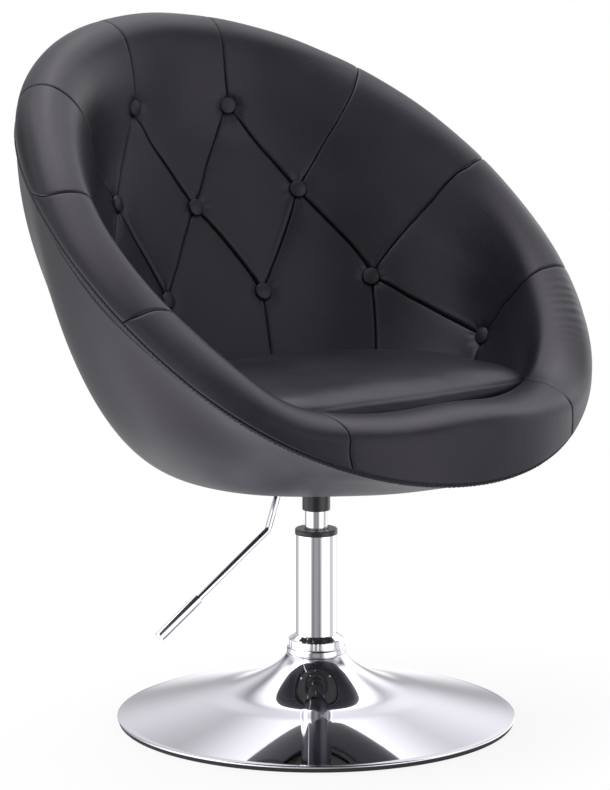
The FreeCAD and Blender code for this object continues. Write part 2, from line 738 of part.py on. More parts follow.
def bearing_balls():
    """Ring of balls between the two washers."""
    middle = bearing_z() + BEARING_WASHER_HEIGHT + BALL_RADIUS + 0.05
    return Part.makeCompound([Part.makeSphere(BALL_RADIUS, Vector(x, y, middle))
                              for x, y in bearing_places()])


def bearing_cage():
    """Flat cage that spaces the balls."""
    cage = tube(5.4, 11.6, bearing_z() + 3.4, bearing_z() + 4.7)
    for x, y in bearing_places():
        cage = cage.cut(rod(BALL_RADIUS + 0.1, bearing_z(), bearing_z() + BEARING_HEIGHT, x, y))
    return cage


def rubber_buffer():
    """Bump stop that the cylinder comes down on."""
    low = bearing_z() + BEARING_HEIGHT
    top = CYLINDER_BOTTOM_Z - 0.4
    slim, wide = BUFFER_RADII
    return revolve(((ROD_RADIUS, low), (slim, low), (wide, low + 2), (slim, low + 5),
                    (wide, low + 8), (slim, top), (ROD_RADIUS, top)))


def rod_washer():
    return tube(ROD_TAIL_RADIUS + RUNNING_GAP, 9.0, SLEEVE_BOTTOM_Z - 2.1, SLEEVE_BOTTOM_Z - 0.05)


def rod_clip():
    """Spring clip in the rod's groove, open on one side."""
    low = SLEEVE_BOTTOM_Z - 3.4
    clip = tube(ROD_TAIL_RADIUS - 0.75, 7.5, low, low + CLIP_HEIGHT)
    return clip.cut(Part.makeBox(12, 5, 4, Vector(0, -2.5, low - 1)))


def release_pin():
    """Valve pin that the lever presses."""
    top, radius = RELEASE_PIN_TOP_Z, RELEASE_PIN_RADIUS
    pin = rod(radius, top - RELEASE_PIN_LENGTH, top)
    return pin.common(Part.makeSphere(4 * radius, Vector(0, 0, top - 4 * radius)).fuse(
        rod(2 * radius, top - 2 * RELEASE_PIN_LENGTH, top - 2 * radius)))


# ---- Lever ----

def lever_path():
    """Centre line of the lever: level through the pivot, down, then out and down."""
    corners = [Vector(4, 0, LEVER_HEIGHT_Z)]
    corners += [Vector(x, 0, z) for x, z in (LEVER_KNEE, LEVER_ELBOW, LEVER_TIP)]
    edges = []
    start = corners[0]
    for before, corner, after in zip(corners, corners[1:], corners[2:]):
        arrive = (corner - before).normalize()
        leave = (after - corner).normalize()
        half_turn = arrive.getAngle(leave) / 2
        reach = LEVER_BEND_RADIUS * math.tan(half_turn)
        first, last = corner - arrive * reach, corner + leave * reach
        middle_gap = LEVER_BEND_RADIUS * (1 / math.cos(half_turn) - 1)
        middle = corner + (leave - arrive).normalize() * middle_gap
        edges += [Part.LineSegment(start, first).toShape(), Part.Arc(first, middle, last).toShape()]
        start = last
    edges.append(Part.LineSegment(start, corners[-1]).toShape())
    return Part.Wire(edges)


def lever_rod():
    """Bent round bar, flattened where it bears on the release pin."""
    section = Part.Wire([Part.makeCircle(LEVER_RADIUS, Vector(4, 0, LEVER_HEIGHT_Z), Vector(1, 0, 0))])
    bar = lever_path().makePipeShell([section], True, True)
    for side in (-1, 1):
        flat = Part.makeBox(20, 10, 20, Vector(-11, 3.2 if side > 0 else -13.2, LEVER_HEIGHT_Z - 10))
        bar = bar.cut(flat)
    return bar.cut(pivot_hole(PIVOT_PIN_RADIUS + RUNNING_GAP))


def lever_grip():
    """Chromed sleeve over the lever's end, with rounded rims."""
    tip = Vector(LEVER_TIP[0], 0, LEVER_TIP[1])
    elbow = Vector(LEVER_ELBOW[0], 0, LEVER_ELBOW[1])
    back = (elbow - tip).normalize()
    sleeve = Part.makeCylinder(LEVER_GRIP_RADIUS, GRIP_LENGTH, Vector(0, 0, -2))
    sleeve = sleeve.makeFillet(1.2, [edge for edge in sleeve.Edges if len(edge.Vertexes) == 1])
    bore = Part.makeCylinder(LEVER_RADIUS, GRIP_LENGTH + 10)
    return placed(sleeve.cut(bore), tip, back)


def lever_pivot_pin():
    """Pin through the two lugs that the lever turns on."""
    return Part.makeCylinder(PIVOT_PIN_RADIUS, 19, Vector(LEVER_PIVOT_X, -9.5, LEVER_HEIGHT_Z),
                             Vector(0, 1, 0))


# ---- Base and column ----

def base_disc():
    """Spun trumpet disc: flared neck, nearly flat skirt and rolled rim."""
    curve = Part.BSplineCurve()
    curve.interpolate(Points=[Vector(r, 0, z) for r, z in TRUMPET])
    inner = Part.BSplineCurve()
    points = []
    for r, z in TRUMPET:
        along = curve.tangent(curve.parameter(Vector(r, 0, z)))[0]
        points.append(Vector(r + along.z * BASE_SHEET, 0, z - along.x * BASE_SHEET))
    inner.interpolate(Points=points)
    top, bottom = Vector(TRUMPET[-1][0], 0, TRUMPET[-1][1]), points[-1]
    rest = FLOOR_RING_HEIGHT
    lip = Part.Arc(top, Vector(BASE_RADIUS, 0, rest + 1.6), Vector(BASE_RADIUS - 1, 0, rest + 0.4))
    under = [lip.EndPoint, Vector(BASE_RADIUS - 2, 0, rest), Vector(BASE_RADIUS - 12, 0, rest), bottom]
    neck = [points[0], Vector(TRUMPET[0][0], 0, TRUMPET[0][1])]
    wire = Part.Wire([curve.toShape(), lip.toShape()] + Part.makePolygon(under).Edges
                     + [inner.toShape()] + Part.makePolygon(neck).Edges)
    return Part.Face(wire).revolve(Vector(0, 0, 0), Vector(0, 0, 1), 360)


def base_floor_ring():
    """Rubber ring that the base stands on."""
    middle = (FLOOR_RING_INNER + FLOOR_RING_OUTER) / 2
    return revolve(((FLOOR_RING_INNER + 1, 0), (middle - 1.5, 0), (middle, 1.2), (middle + 1.5, 0),
                    (FLOOR_RING_OUTER - 1, 0), (FLOOR_RING_OUTER, 1), (FLOOR_RING_OUTER, FLOOR_RING_HEIGHT),
                    (FLOOR_RING_INNER, FLOOR_RING_HEIGHT), (FLOOR_RING_INNER, 1)))


def ballast_plate():
    """Steel plate under the disc that gives the base its weight."""
    low, high = BALLAST_LEVELS
    plate = tube(SLEEVE_RADIUS + HUB_TUBE_WALL, FLOOR_RING_INNER - 0.5, low, high)
    for turn in range(0, 360, 60):
        x = BALLAST_HOLE_RING * math.cos(math.radians(turn))
        y = BALLAST_HOLE_RING * math.sin(math.radians(turn))
        plate = plate.cut(rod(BALLAST_HOLE_RADIUS, low - 1, high + 1, x, y))
    return plate


def base_hub():
    """Socket tube, welded to the ballast plate, that holds the column."""
    outer = SLEEVE_RADIUS + HUB_TUBE_WALL
    return tube(SLEEVE_RADIUS, outer, BALLAST_LEVELS[0], HUB_TUBE_TOP_Z)


def base_collar():
    """Knurled ring round the foot of the column."""
    seat = SLEEVE_RADIUS + 0.05
    ring = revolve(((seat, COLLAR_BOTTOM),) + COLLAR_RING + ((seat, COLLAR_TOP),))
    low, high = KNURL_LEVELS
    for index in range(KNURL_COUNT):
        turn = math.radians(360 * index / KNURL_COUNT)
        ring = ring.cut(rod(KNURL_RADIUS, low, high,
                            KNURL_RING * math.cos(turn), KNURL_RING * math.sin(turn)))
    neck = TRUMPET[0][0] - BASE_SHEET
    spigot = tube(SLEEVE_RADIUS + HUB_TUBE_WALL, neck - 2, SPIGOT_BOTTOM, COLLAR_BOTTOM)
    return ring.fuse(spigot).cut(rod(seat, SPIGOT_BOTTOM - 1, COLLAR_TOP + 1))


def column_sleeve():
    """Chromed outer tube, closed at the foot round the rod's tail."""
    bore = SLEEVE_RADIUS - SLEEVE_WALL
    foot = bearing_z()
    return revolve(((ROD_TAIL_RADIUS + RUNNING_GAP, SLEEVE_BOTTOM_Z), (SLEEVE_RADIUS, SLEEVE_BOTTOM_Z),
                    (SLEEVE_RADIUS, SLEEVE_TOP_Z), (bore, SLEEVE_TOP_Z), (bore, foot),
                    (ROD_TAIL_RADIUS + RUNNING_GAP, foot)))


def sleeve_cap():
    """Black ring over the sleeve's upper edge."""
    skirt = SLEEVE_RADIUS + 0.05
    return revolve(((CYLINDER_RADIUS + 0.6, SLEEVE_TOP_Z), (skirt, SLEEVE_TOP_Z), (skirt, 233.8),
                    (CAP_RADIUS, 233.8), (CAP_RADIUS, CAP_TOP_Z - 0.8), (CAP_RADIUS - 0.8, CAP_TOP_Z),
                    (CYLINDER_RADIUS + 1.4, CAP_TOP_Z), (CYLINDER_RADIUS + 0.6, CAP_TOP_Z - 0.8)))


def guide_bush():
    """Long plastic bush that the cylinder slides and turns in."""
    return tube(CYLINDER_RADIUS + RUNNING_GAP, SLEEVE_RADIUS - SLEEVE_WALL,
                SLEEVE_TOP_Z - BUSH_LENGTH, SLEEVE_TOP_Z)


def build():
    """Make every sub-part and write it out."""
    os.makedirs("parts", exist_ok=True)
    ring = padding()
    pieces = {
        "outer_cover": outer_cover(), "outer_shell": outer_shell(), "inner_shell": inner_shell(),
        "back_pad": back_pad(ring), "front_pad": front_pad(ring), "back_buttons": back_buttons(),
        "button_anchors": button_anchors(), "seat_cushion": seat_cushion(),
        "seat_deck": seat_deck(), "seat_board": seat_board(), "tee_nuts": tee_nuts(),
        "plate_bolts": plate_bolts(), "plate_washers": plate_washers(), "seat_plate": seat_plate(),
        "gas_cylinder": gas_cylinder(), "rod_gland": rod_gland(),
        "cylinder_collar": cylinder_collar(), "piston_rod": piston_rod(), "piston": piston(),
        "bearing_washer_lower": bearing_washer_lower(),
        "bearing_washer_upper": bearing_washer_upper(), "bearing_balls": bearing_balls(),
        "bearing_cage": bearing_cage(), "rubber_buffer": rubber_buffer(),
        "rod_washer": rod_washer(), "rod_clip": rod_clip(), "release_pin": release_pin(),
        "lever_rod": lever_rod(), "lever_grip": lever_grip(), "lever_pivot_pin": lever_pivot_pin(),
        "base_disc": base_disc(), "base_floor_ring": base_floor_ring(),
        "ballast_plate": ballast_plate(), "base_hub": base_hub(), "base_collar": base_collar(),
        "column_sleeve": column_sleeve(), "sleeve_cap": sleeve_cap(), "guide_bush": guide_bush(),
    }
    pieces.update(roll_panels())
    for name, shape in pieces.items():
        save(name, shape)


build()
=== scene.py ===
"""Finished look of a swivelling salon tub chair: sewn and buttoned leatherette over a chromed gas lift."""

import json
import math

import bmesh
import bpy
import numpy as np
from bpy.props import FloatProperty, FloatVectorProperty, IntProperty, PointerProperty
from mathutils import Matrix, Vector


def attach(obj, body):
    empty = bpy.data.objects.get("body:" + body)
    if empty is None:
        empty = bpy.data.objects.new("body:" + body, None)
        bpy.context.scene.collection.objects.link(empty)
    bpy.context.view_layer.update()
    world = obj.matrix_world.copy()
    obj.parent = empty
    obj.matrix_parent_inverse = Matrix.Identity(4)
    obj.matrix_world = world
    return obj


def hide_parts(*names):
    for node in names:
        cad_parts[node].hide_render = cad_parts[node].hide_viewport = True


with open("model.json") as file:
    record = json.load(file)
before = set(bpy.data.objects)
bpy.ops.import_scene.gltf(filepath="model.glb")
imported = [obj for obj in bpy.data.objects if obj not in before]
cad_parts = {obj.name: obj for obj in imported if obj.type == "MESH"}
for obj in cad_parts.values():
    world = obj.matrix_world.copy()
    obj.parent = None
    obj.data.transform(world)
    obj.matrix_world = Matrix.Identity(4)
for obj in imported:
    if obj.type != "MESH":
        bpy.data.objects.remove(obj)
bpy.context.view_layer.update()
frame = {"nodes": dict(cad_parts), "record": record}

bl_info = {
    "name": "Salon Tub Chair",
    "version": (1, 0, 0),
    "blender": (4, 5, 0),
    "location": "View3D > Sidebar > Tub Chair",
    "description": "Builds the upholstery, finishes and studio of a swivelling tub chair",
    "category": "Object",
}

SEAT = "seat"
BASE = "base"
MM = 0.001
UP = np.array([0.0, 0.0, 1.0])

# ---- Tub, in metres and degrees round from the front (0) to the back (180) ----
# A row of numbers is a cosine series round the tub, unless its own comment says otherwise.
RIM_HALF_WIDTH = 0.334
RIM_HALF_DEPTH = 0.276
RIM_HALF_RISE = 0.220
RIM_CENTRE_Y = 0.019
RIM_CENTRE_Z = 0.630
RIM_SQUARENESS = 0.0043
RIM_SKEW_Y = 0.0062
RIM_SKEW_Z = -0.0039
ROLL_WIDTH = (0.0788, 0.0046, 0.0181)
ROLL_DROP = (0.0524, -0.0168, 0.0300)
ROLL_CROWN = (0.0355, -0.0120)
ROLL_LEAN = (-2.2, -24.8, -19.6, 4.2)    # degrees
ROLL_SIDE_LEAST = 2 * MM         # least height of the roll's upright side
LIP_RISE = 0.022                 # front lip above the crest line
LIP_REACH = 18.0                 # degrees
LIP_DIP = 0.010                  # crown below the crest line beside the lip
LIP_DIP_PLACE = 36.0             # degrees from the front
LIP_DIP_REACH = 11.0             # degrees
ROLL_SIDE_SHARE = 0.2            # part of the roll's height run that is its upright outer side
ROLL_LEAVE = 128.0               # degrees round the roll's crown where the lining leaves it
HOLLOW_JOIN = 0.13               # height at which the lining lands on the hollow's face
ARM_EASE = (36.0, 0.10)          # how much sooner it leaves and later it lands along the arms
ARM_EASE_PLACE = 95.0            # degrees from the front
ARM_EASE_REACH = 46.0            # degrees
BRIDGE_REACH = 0.36              # handle length of the taut bridge between them, as a share of it
HOLLOW_CONTROL = (0.282, 0.195, -0.010, 0.385, 0.025)    # half width and depth, y, z, rise to the back
HOLLOW_FLOOR = (0.170, 0.135, -0.012, 0.352)             # half width and depth, y, z
HOLLOW_FRONT_TRIM = 0.1          # how much narrower the hollow is at its front corners
BOWL_FLOOR_Z = 0.303
BOWL_FLOOR_RADIUS = 0.0946
BOWL_LOW_FULLNESS = (0.1418, 0.0046, -0.1072)
BOWL_HIGH_FULLNESS = (0.1323, -0.0776, 0.0967)
BOWL_SEAM_SLOPE = (29.6, 48.1, -2.4)     # degrees
CUSHION_MIDDLE = np.array([0.0, -0.015])
# Drag folds of the bowl: degrees at the seam, degrees run per height, half width in degrees, millimetres
DRAG_FOLDS = ((-18.0, -38.0, 2.6, 1.0), (-34.0, -30.0, 3.0, 0.8), (-62.0, -22.0, 3.8, 0.7),
              (36.0, 30.0, 3.0, 0.8), (-105.0, -14.0, 4.4, 0.6), (95.0, 16.0, 4.4, 0.6))
# Soft panels of light in rings: degrees up, then degrees round from the camera and brightness of each
LIGHT_RINGS = (
    (-62, ((80, 0.4), (200, 1.1), (262, 0.8), (325, 0.6))),
    (-29, ((0, 0.12), (60, 1.3), (120, 0.5), (180, 0.7), (236, 0.6), (268, 1.5), (305, 0.9))),
    (6, ((0, 0.28), (45, 1.2), (90, 0.6), (135, 1.4), (180, 0.5), (225, 0.12), (270, 0.5), (315, 1.1))),
    (36, ((22, 0.15), (67, 0.35), (112, 0.2), (157, 0.6), (202, 0.35), (247, 0.55), (292, 0.4), (337, 0.2))),
    (63, ((144, 1.5), (216, 1.3), (288, 1.6))),
    (90, ((0, 1.1),)))
PANEL_CORE = 14.0                # degrees from a panel's middle within which it is fully bright
PANEL_EDGE = 34.0                # degrees at which it has faded out
# Trumpet disc of the base: radius in millimetres and degrees that it leans down there
DISC_LEANS = ((36.4, 66.0), (39.0, 57.0), (43.0, 47.0), (50.0, 38.0), (60.0, 31.5), (75.0, 27.0),
              (95.0, 22.0), (107.0, 18.0), (115.0, 12.5), (130.0, 11.8), (142.0, 14.2), (240.0, 14.4))
DISC_TOP_Z = 0.0848
DISC_RIM_Z = 0.0083
DISC_RIM_RADIUS = 0.2465
DISC_SHEET = 0.0015
# Its rolled edge: millimetres out from the rim's radius and up from the floor ring
DISC_LIP = ((-3.5, 2.75), (-1.2, 2.3), (-0.3, 1.9), (0.0, 1.4), (-0.3, 0.8), (-1.0, 0.3),
            (-2.0, 0.02), (-12.0, 0.02))
FLOOR_RING_TOP_Z = 0.005

# ---- Padding of the lining ----
PAD_HEIGHTS = (-0.1, 0.3)        # heights between which the rim's rise becomes the pad's
FRONT_PLACES = (85.0, 55.0)      # degrees between which the front's thinner padding sets in
FRONT_THINNING = 0.65            # share of the pad's extra rise that the front lacks
CORNER_PRESS = 0.011             # how far the cushion's front corners press the lining in
CORNER_PRESS_PLACE = (39.0, 0.05)    # its middle, in degrees and height
CORNER_PRESS_REACH = (16.0, 0.3)     # and how far it reaches
EDGE_SOFTNESS = 4.5 * MM         # how fast the padding rises beside a plain side,
LIP_SOFTNESS = 3.0 * MM          # beside one that bulges over its seam,
TUCK_SOFTNESS = 10.0 * MM        # and beside one that slopes away under a lip
EDGE_FALL = 0.2                  # share of the rise that is lost at a side
TUCK_FALL = 0.34
LIP_BULGE = 0.6 * MM             # height, place and reach of the bulge beside a lip's seam
LIP_BULGE_PLACE = 5.0 * MM
LIP_BULGE_REACH = 3.5 * MM
LIP_BULGE_HEIGHTS = (0.0, 0.2)   # heights between which the bulge sets in
SIDE_AT_EDGE = 0.99              # a side wholly past this height lies on the deck or on the outer seam
GROOVE_POWER = 1.4               # steepness of a seam's groove
OUTER_GROOVE = 1.3               # groove of the outer seam, in widths of a lining seam
OUTER_PULL = 1.1                 # and its depth, in depths of a lining seam
PANEL_WAVE = (11, 0.11, 0.5 * MM)    # seed, wavelength and height of the panels' unevenness
BUTTON_LIFT = 0.0025             # buttons' seats above the hollow's face
PULL_POWER = 2.2                 # steepness of the padding's fall to a button's seat
GATHERS = ((9, 1.0, 1.0), (14, 0.6, 2.3))    # folds round a button, share of their height, turn per button
GATHER_HEIGHT = 0.35 * MM
GATHER_RADIUS = 16.5 * MM
GATHER_REACH = 6.0 * MM
BUTTON_AXIS_LEAST = 0.02         # least height down the lining at which a button's axis is taken
WRINKLE_PLACE = (57.0, -0.50)    # middle of the left arm's wrinkles, in degrees and height
WRINKLE_REACH = (8.5, 0.14)
WRINKLE_PITCH = 2.3              # degrees from one wrinkle to the next
WRINKLE_HEIGHT = 0.5 * MM
WRINKLE_SLANT = 9.0              # radians that the wrinkles' phase turns per height
WRINKLE_BEND = (23, 0.07, 2.2)   # seed and wavelength of their bends, and size in radians
WRINKLE_GAPS = (29, 0.05, 0.4)   # seed and wavelength of their uneven height, and share of it
SEAM_STEP = 0.7 * MM             # spacing of a panel's points beside a seam
CELL_STEP = 2.8 * MM             # and in the middle of the panel

# ---- Outer cover ----
BACK_SEAM_WIDTH = 1.6 * MM       # half width of the joint down the back
SKIN_WAVE = (5, 0.16)            # seed and wavelength of the skin's unevenness
FOLD_RISE = (0.0, 0.12)          # heights below the seam between which the drag folds set in,
FOLD_FADE = (0.35, 0.75)         # between which they fade out,
FOLD_SPREAD = 1.5                # and shares of their width that they gain per height
PUCKER_DRIFT = (31, 0.05, 2.5)   # seed and wavelength of the puckers' drift, and size in radians
BORDER_LIFT = 1.4 * MM           # border above the bowl's face
BORDER_TUCK = 1.6 * MM           # how far its lower edge is turned in,
BORDER_TUCK_WIDTH = 0.8 * MM     # and over what width
BORDER_THICKNESS = 1.2 * MM
STITCH_SINK = 1.7 * MM           # depth and reach of the groove under the top-stitching
STITCH_SINK_REACH = 1.1 * MM
STITCH_LIFT = 0.5 * MM           # a stitch's middle above the bowl's face
STITCH_ARCH = 0.25 * MM          # how far its ends dip
THREAD_RADIUS = 0.45 * MM
# A stitch's shares of its half length and of the thread's radius there
STITCH_PROFILE = ((-1.0, 0.0), (-0.86, 0.6), (-0.5, 1.0), (0.5, 1.0), (0.86, 0.6), (1.0, 0.0))

# ---- Cushion ----
CLOTH_STRETCH = 40.0             # stiffness of the cloth against stretching and against bending
CLOTH_BEND = 10.0
CALMING = 60                     # rounds of smoothing after the filling
CORNER_SPAN = 17.0               # degrees that a front corner reaches to either side
CORNER_RADII = (0.10, 0.19)      # distances from the middle between which the corners set in
CORNER_LEVELS = (0.375, 0.42)    # and heights
WALL_BEARINGS = np.arange(-180.0, 181.0, 3.0)    # where the lining round the cushion is measured
WALL_HEIGHTS = np.linspace(-0.3, 1.0, 160)
WALL_LEVELS = np.linspace(0.33, 0.47, 57)
SEAM_STRETCH = np.array([1.0, 1.16])     # the cushion's width over its depth
SEAM_RADII = (0.12, 0.15)        # distances from the middle between which its edge seam sets in
SEAM_REACH = 2.2 * MM

# ---- Seams and buttons of the sitter's left half, as (degrees round, height down the lining) ----
# Height is -1 at the outer seam, about 0 under the roll, and 1 at the seat deck.
HIGH = (165.0, -0.022)
MIDDLE = (180.0, 0.25)
SIDE = (149.0, 0.20)
LOW = (164.0, 0.455)
ARM = (129.5, 0.38)
HIP = (86.0, 0.42)
BUTTON_HEIGHTS = {HIGH: 0.05}    # where a button's height down the hollow differs from the lining's
CROWN_SEAM = ((168.4, -1.0), (167.5, -0.6), (167.0, -0.4), (166.3, -0.25), (165.7, -0.12), HIGH)
SHOULDER_SEAM = ((135.8, -1.0), (134.5, -0.5), (132.9, -0.3), (132.7, -0.22), (133.8, -0.15),
                 (136.0, -0.07), (138.7, 0.0), (141.6, 0.07), (144.8, 0.145), (147.0, 0.175), SIDE)
ARM_SEAM = ((107.0, -1.0), (101.5, -0.64), (100.0, -0.45), (99.2, -0.33), (100.0, -0.23), (102.5, -0.15),
            (106.0, -0.04), (109.5, 0.06), (113.5, 0.15), (118.0, 0.23), (123.0, 0.29),
            (126.5, 0.335), ARM)
HIP_SEAM = ((70.5, -1.0), (69.0, -0.64), (68.0, -0.46), (66.7, -0.34), (66.3, -0.24), (67.6, -0.11),
            (71.5, 0.07), (76.5, 0.22), (80.8, 0.32), HIP)
FRONT_SEAM = ((24.0, -1.0), (25.5, -0.87), (26.0, -0.71), (27.5, -0.57), (28.5, -0.49), (31.0, -0.3),
              (33.0, -0.1), (33.6, 0.1), (33.6, 1.0))
LOW_FOOT = (166.0, 1.0)
ARM_FOOT = (126.5, 1.0)
HIP_FOOT = (87.0, 1.0)
FRONT_FOOT = FRONT_SEAM[-1]
TOP_CREASE = (HIGH, (167.0, 0.012), (170.0, 0.1), (173.5, 0.16), (176.8, 0.21), MIDDLE)
SIDE_CREASE = (SIDE, (151.0, 0.185), (155.0, 0.148), (159.0, 0.09), (163.3, 0.005), HIGH)
LOW_CREASE = (LOW, (169.3, 0.375), (174.0, 0.315), MIDDLE)
FLANK_CREASE = (SIDE, (152.5, 0.268), (157.3, 0.35), LOW)
ARM_CREASE = (ARM, (130.4, 0.352), (134.8, 0.31), (141.0, 0.265), (147.0, 0.22), SIDE)
HIP_CREASE = (HIP, (92.0, 0.43), (105.5, 0.43), (116.5, 0.41), (125.5, 0.386), ARM)
# Buttons of the right half that don't sit at the mirror image of the left's
RIGHT_PLACES = {HIGH: (194.0, -0.025), LOW: (198.2, 0.45), LOW_FOOT: (199.0, 1.0)}
RIGHT_HEIGHTS = {HIGH: 0.045}


def length_setting(name, default, description):
    """Property for a size in metres."""
    return FloatProperty(name=name, description=description, default=default, unit="LENGTH")


def angle_setting(name, degrees, description):
    """Property for an angle, given here in degrees."""
    return FloatProperty(name=name, description=description, default=math.radians(degrees), subtype="ANGLE")


def colour_setting(name, red_green_blue, description):
    """Property for an opaque colour."""
    return FloatVectorProperty(name=name, description=description, default=(*red_green_blue, 1.0),
                               subtype="COLOR", size=4, min=0.0, max=1.0)


class LiningSettings(bpy.types.PropertyGroup):
    """Sizes of the sewn and buttoned lining."""

    rim_rise: length_setting("Rim rise", 0.0016, "Crown of each panel over the rim's roll")
    pad_rise: length_setting("Pad rise", 0.0080, "Crown of each cell in the hollow above its buttons")
    seam_depth: length_setting("Seam depth", 0.0019, "How far a sewn seam is pulled in")
    seam_width: length_setting("Seam width", 0.0011, "Half width of a seam's groove")
    button_radius: length_setting("Button radius", 0.0115, "Radius of a covered button")
    button_pull: length_setting(
        "Button pull", 0.0130, "Radius of the hollow that a button pulls in the padding")
    leather_thickness: length_setting(
        "Leather thickness", 0.0018, "Thickness of the leatherette with its backing")


class CoverSettings(bpy.types.PropertyGroup):
    """Sizes of the outer cover and its stitching."""

    stitch_length: length_setting("Stitch length", 0.0034, "Visible length of one stitch")
    stitch_pitch: length_setting("Stitch pitch", 0.0048, "Distance from one stitch to the next")
    seam_stitch_drop: length_setting(
        "Seam stitch drop", 0.0012, "Distance of the seam's own stitches below it")
    stitch_drop: length_setting(
        "Stitch drop", 0.0102, "Distance of the top-stitching below the outer seam")
    border_width: length_setting(
        "Border width", 0.0132, "Width of the sewn border under the outer seam")
    border_lap: length_setting("Border lap", 0.0035, "How far the bowl's skin reaches under the border")
    border_swell: length_setting(
        "Border swell", 0.0011, "Height of the border between seam and top-stitching")
    pucker_height: length_setting("Pucker height", 0.0007, "Height of the border's puckers")
    pucker_length: length_setting("Pucker length", 0.0062, "Distance from one pucker to the next")
    waviness: length_setting("Waviness", 0.0007, "Unevenness of the bowl's skin")


class CushionSettings(bpy.types.PropertyGroup):
    """Filling of the loose seat cushion."""

    pressure: FloatProperty(
        name="Pressure", description="Pressure that fills the cushion's cloth", default=4.0)
    frames: IntProperty(name="Frames", description="Steps of the filling", default=20)
    slack: length_setting("Slack", 0.0035, "How much smaller the cloth starts than the filled cushion")
    swell: length_setting("Largest swell", 0.0045, "Furthest that the filling may push the cloth out")
    voxel: length_setting("Cloth grain", 0.005, "Size of the cloth's mesh before it is filled")
    corner_place: angle_setting("Corner place", 52.0, "Bearing of the front corners")
    corner_reach: length_setting("Corner reach", 0.030, "How far the front corners stand out")
    clearance: length_setting("Clearance", 0.001, "Gap left between the cushion and the lining")
    seam_level: length_setting("Seam level", 0.4275, "Height of the seam round the cushion's edge")
    seam_depth: length_setting("Seam depth", 0.0006, "Depth of the seam round the cushion's edge")


class FinishSettings(bpy.types.PropertyGroup):
    """Colours of the chair's finishes."""

    leather: colour_setting("Leatherette", (0.0118, 0.0115, 0.0160), "Colour of the leatherette")
    chrome: colour_setting("Chrome", (0.86, 0.86, 0.89), "Tint of the chrome plate")
    disc: colour_setting("Disc chrome", (0.80, 0.80, 0.85), "Tint of the base disc's plate")
    thread: colour_setting("Thread", (0.003, 0.003, 0.0035), "Colour of the sewing thread")


class StudioSettings(bpy.types.PropertyGroup):
    """Camera and lights."""

    lens: FloatProperty(
        name="Lens", description="Focal length of the camera", default=146.5, unit="CAMERA")
    azimuth: angle_setting("Azimuth", -39.86, "Direction of the camera round the chair")
    distance: length_setting("Distance", 3.871, "Level distance of the camera from the column")
    height: length_setting("Height", 1.054, "Height of the camera")
    pitch: angle_setting("Pitch", 9.5, "How far the camera looks down")
    yaw: angle_setting("Yaw", 0.205, "How far the camera turns from the column")
    light: colour_setting("Light", (0.985, 0.97, 1.0), "Colour of the light panels")


# ---- Surfaces of the tub ----

def series(parts, turn):
    """Mean plus cosine series: part k times the cosine of k turns, added up."""
    return sum(part * np.cos(order * turn) for order, part in enumerate(parts))


def unit(vectors):
    """Vectors of length one in the same directions."""
    return vectors / np.linalg.norm(vectors, axis=-1, keepdims=True)


def rim_crest(turn):
    """Crest of the rim: a tilted ellipse with a third harmonic across and a second one fore and up."""
    return np.stack([
        RIM_HALF_WIDTH * np.sin(turn) + RIM_SQUARENESS * np.sin(3 * turn),
        RIM_CENTRE_Y - RIM_HALF_DEPTH * np.cos(turn) + RIM_SKEW_Y * np.cos(2 * turn),
        RIM_CENTRE_Z - RIM_HALF_RISE * np.cos(turn) + RIM_SKEW_Z * np.cos(2 * turn)], -1)


def section_axes(turn):
    """Outward and upward axes of the roll's section: square to the crest, leaned by its cosine series."""
    step = math.radians(0.5)
    along = unit(rim_crest(turn + step) - rim_crest(turn - step))
    tilt = math.atan2(RIM_HALF_RISE, RIM_HALF_DEPTH)
    out = unit(np.cross(along, np.array([0.0, -math.sin(tilt), math.cos(tilt)])))
    up = unit(np.cross(out, along))
    lean = np.radians(series(ROLL_LEAN, turn))[..., None]
    return out * np.cos(lean) - up * np.sin(lean), up * np.cos(lean) + out * np.sin(lean)


def section_point(turn, across, drop):
    """Crest, plus a share of the roll's half width outwards, less a drop along its upward axis."""
    out, up = section_axes(turn)
    half = series(ROLL_WIDTH, turn) / 2
    return rim_crest(turn) + out * (half * across)[..., None] - up * drop[..., None]


def crown_drop(turn):
    """Drop from the crest to the ends of the roll's rounded crown."""
    return np.minimum(series(ROLL_CROWN, turn), series(ROLL_DROP, turn) - ROLL_SIDE_LEAST)


def off_front(degrees):
    """Degrees from the front, to either side alike."""
    return np.abs((degrees + 180) % 360 - 180)


def bell(value, middle, reach):
    """Bell curve: the exponential of minus the squared distance from its middle in reaches."""
    return np.exp(-((value - middle) / reach) ** 2)


def lip_rise(turn):
    """Height of the front lip above the crest line: a bell curve round the front."""
    return LIP_RISE * bell(off_front(np.degrees(turn)), 0.0, LIP_REACH)


def lip_dip(turn):
    """Depth of the crown below the crest line: a bell curve on each side of the lip."""
    return LIP_DIP * bell(off_front(np.degrees(turn)), LIP_DIP_PLACE, LIP_DIP_REACH)


def roll_point(turn, height):
    """Roll's face: straight up its outer side, then over half an ellipse to the inner edge."""
    run = np.clip(height + 1, 0, 1)
    crown, rise, dip = crown_drop(turn), lip_rise(turn), lip_dip(turn)
    side = np.clip(run / ROLL_SIDE_SHARE, 0, 1)
    round_turn = np.pi * np.clip((run - ROLL_SIDE_SHARE) / (1 - ROLL_SIDE_SHARE), 0, 1)
    fading_dip = dip * np.where(round_turn > np.pi / 2, np.sin(round_turn), 1)
    drop = np.where(run < ROLL_SIDE_SHARE,
                    series(ROLL_DROP, turn) * (1 - side) + (crown - rise + dip) * side,
                    crown * (1 - np.sin(round_turn)) - rise + fading_dip)
    return section_point(turn, np.cos(round_turn), drop)


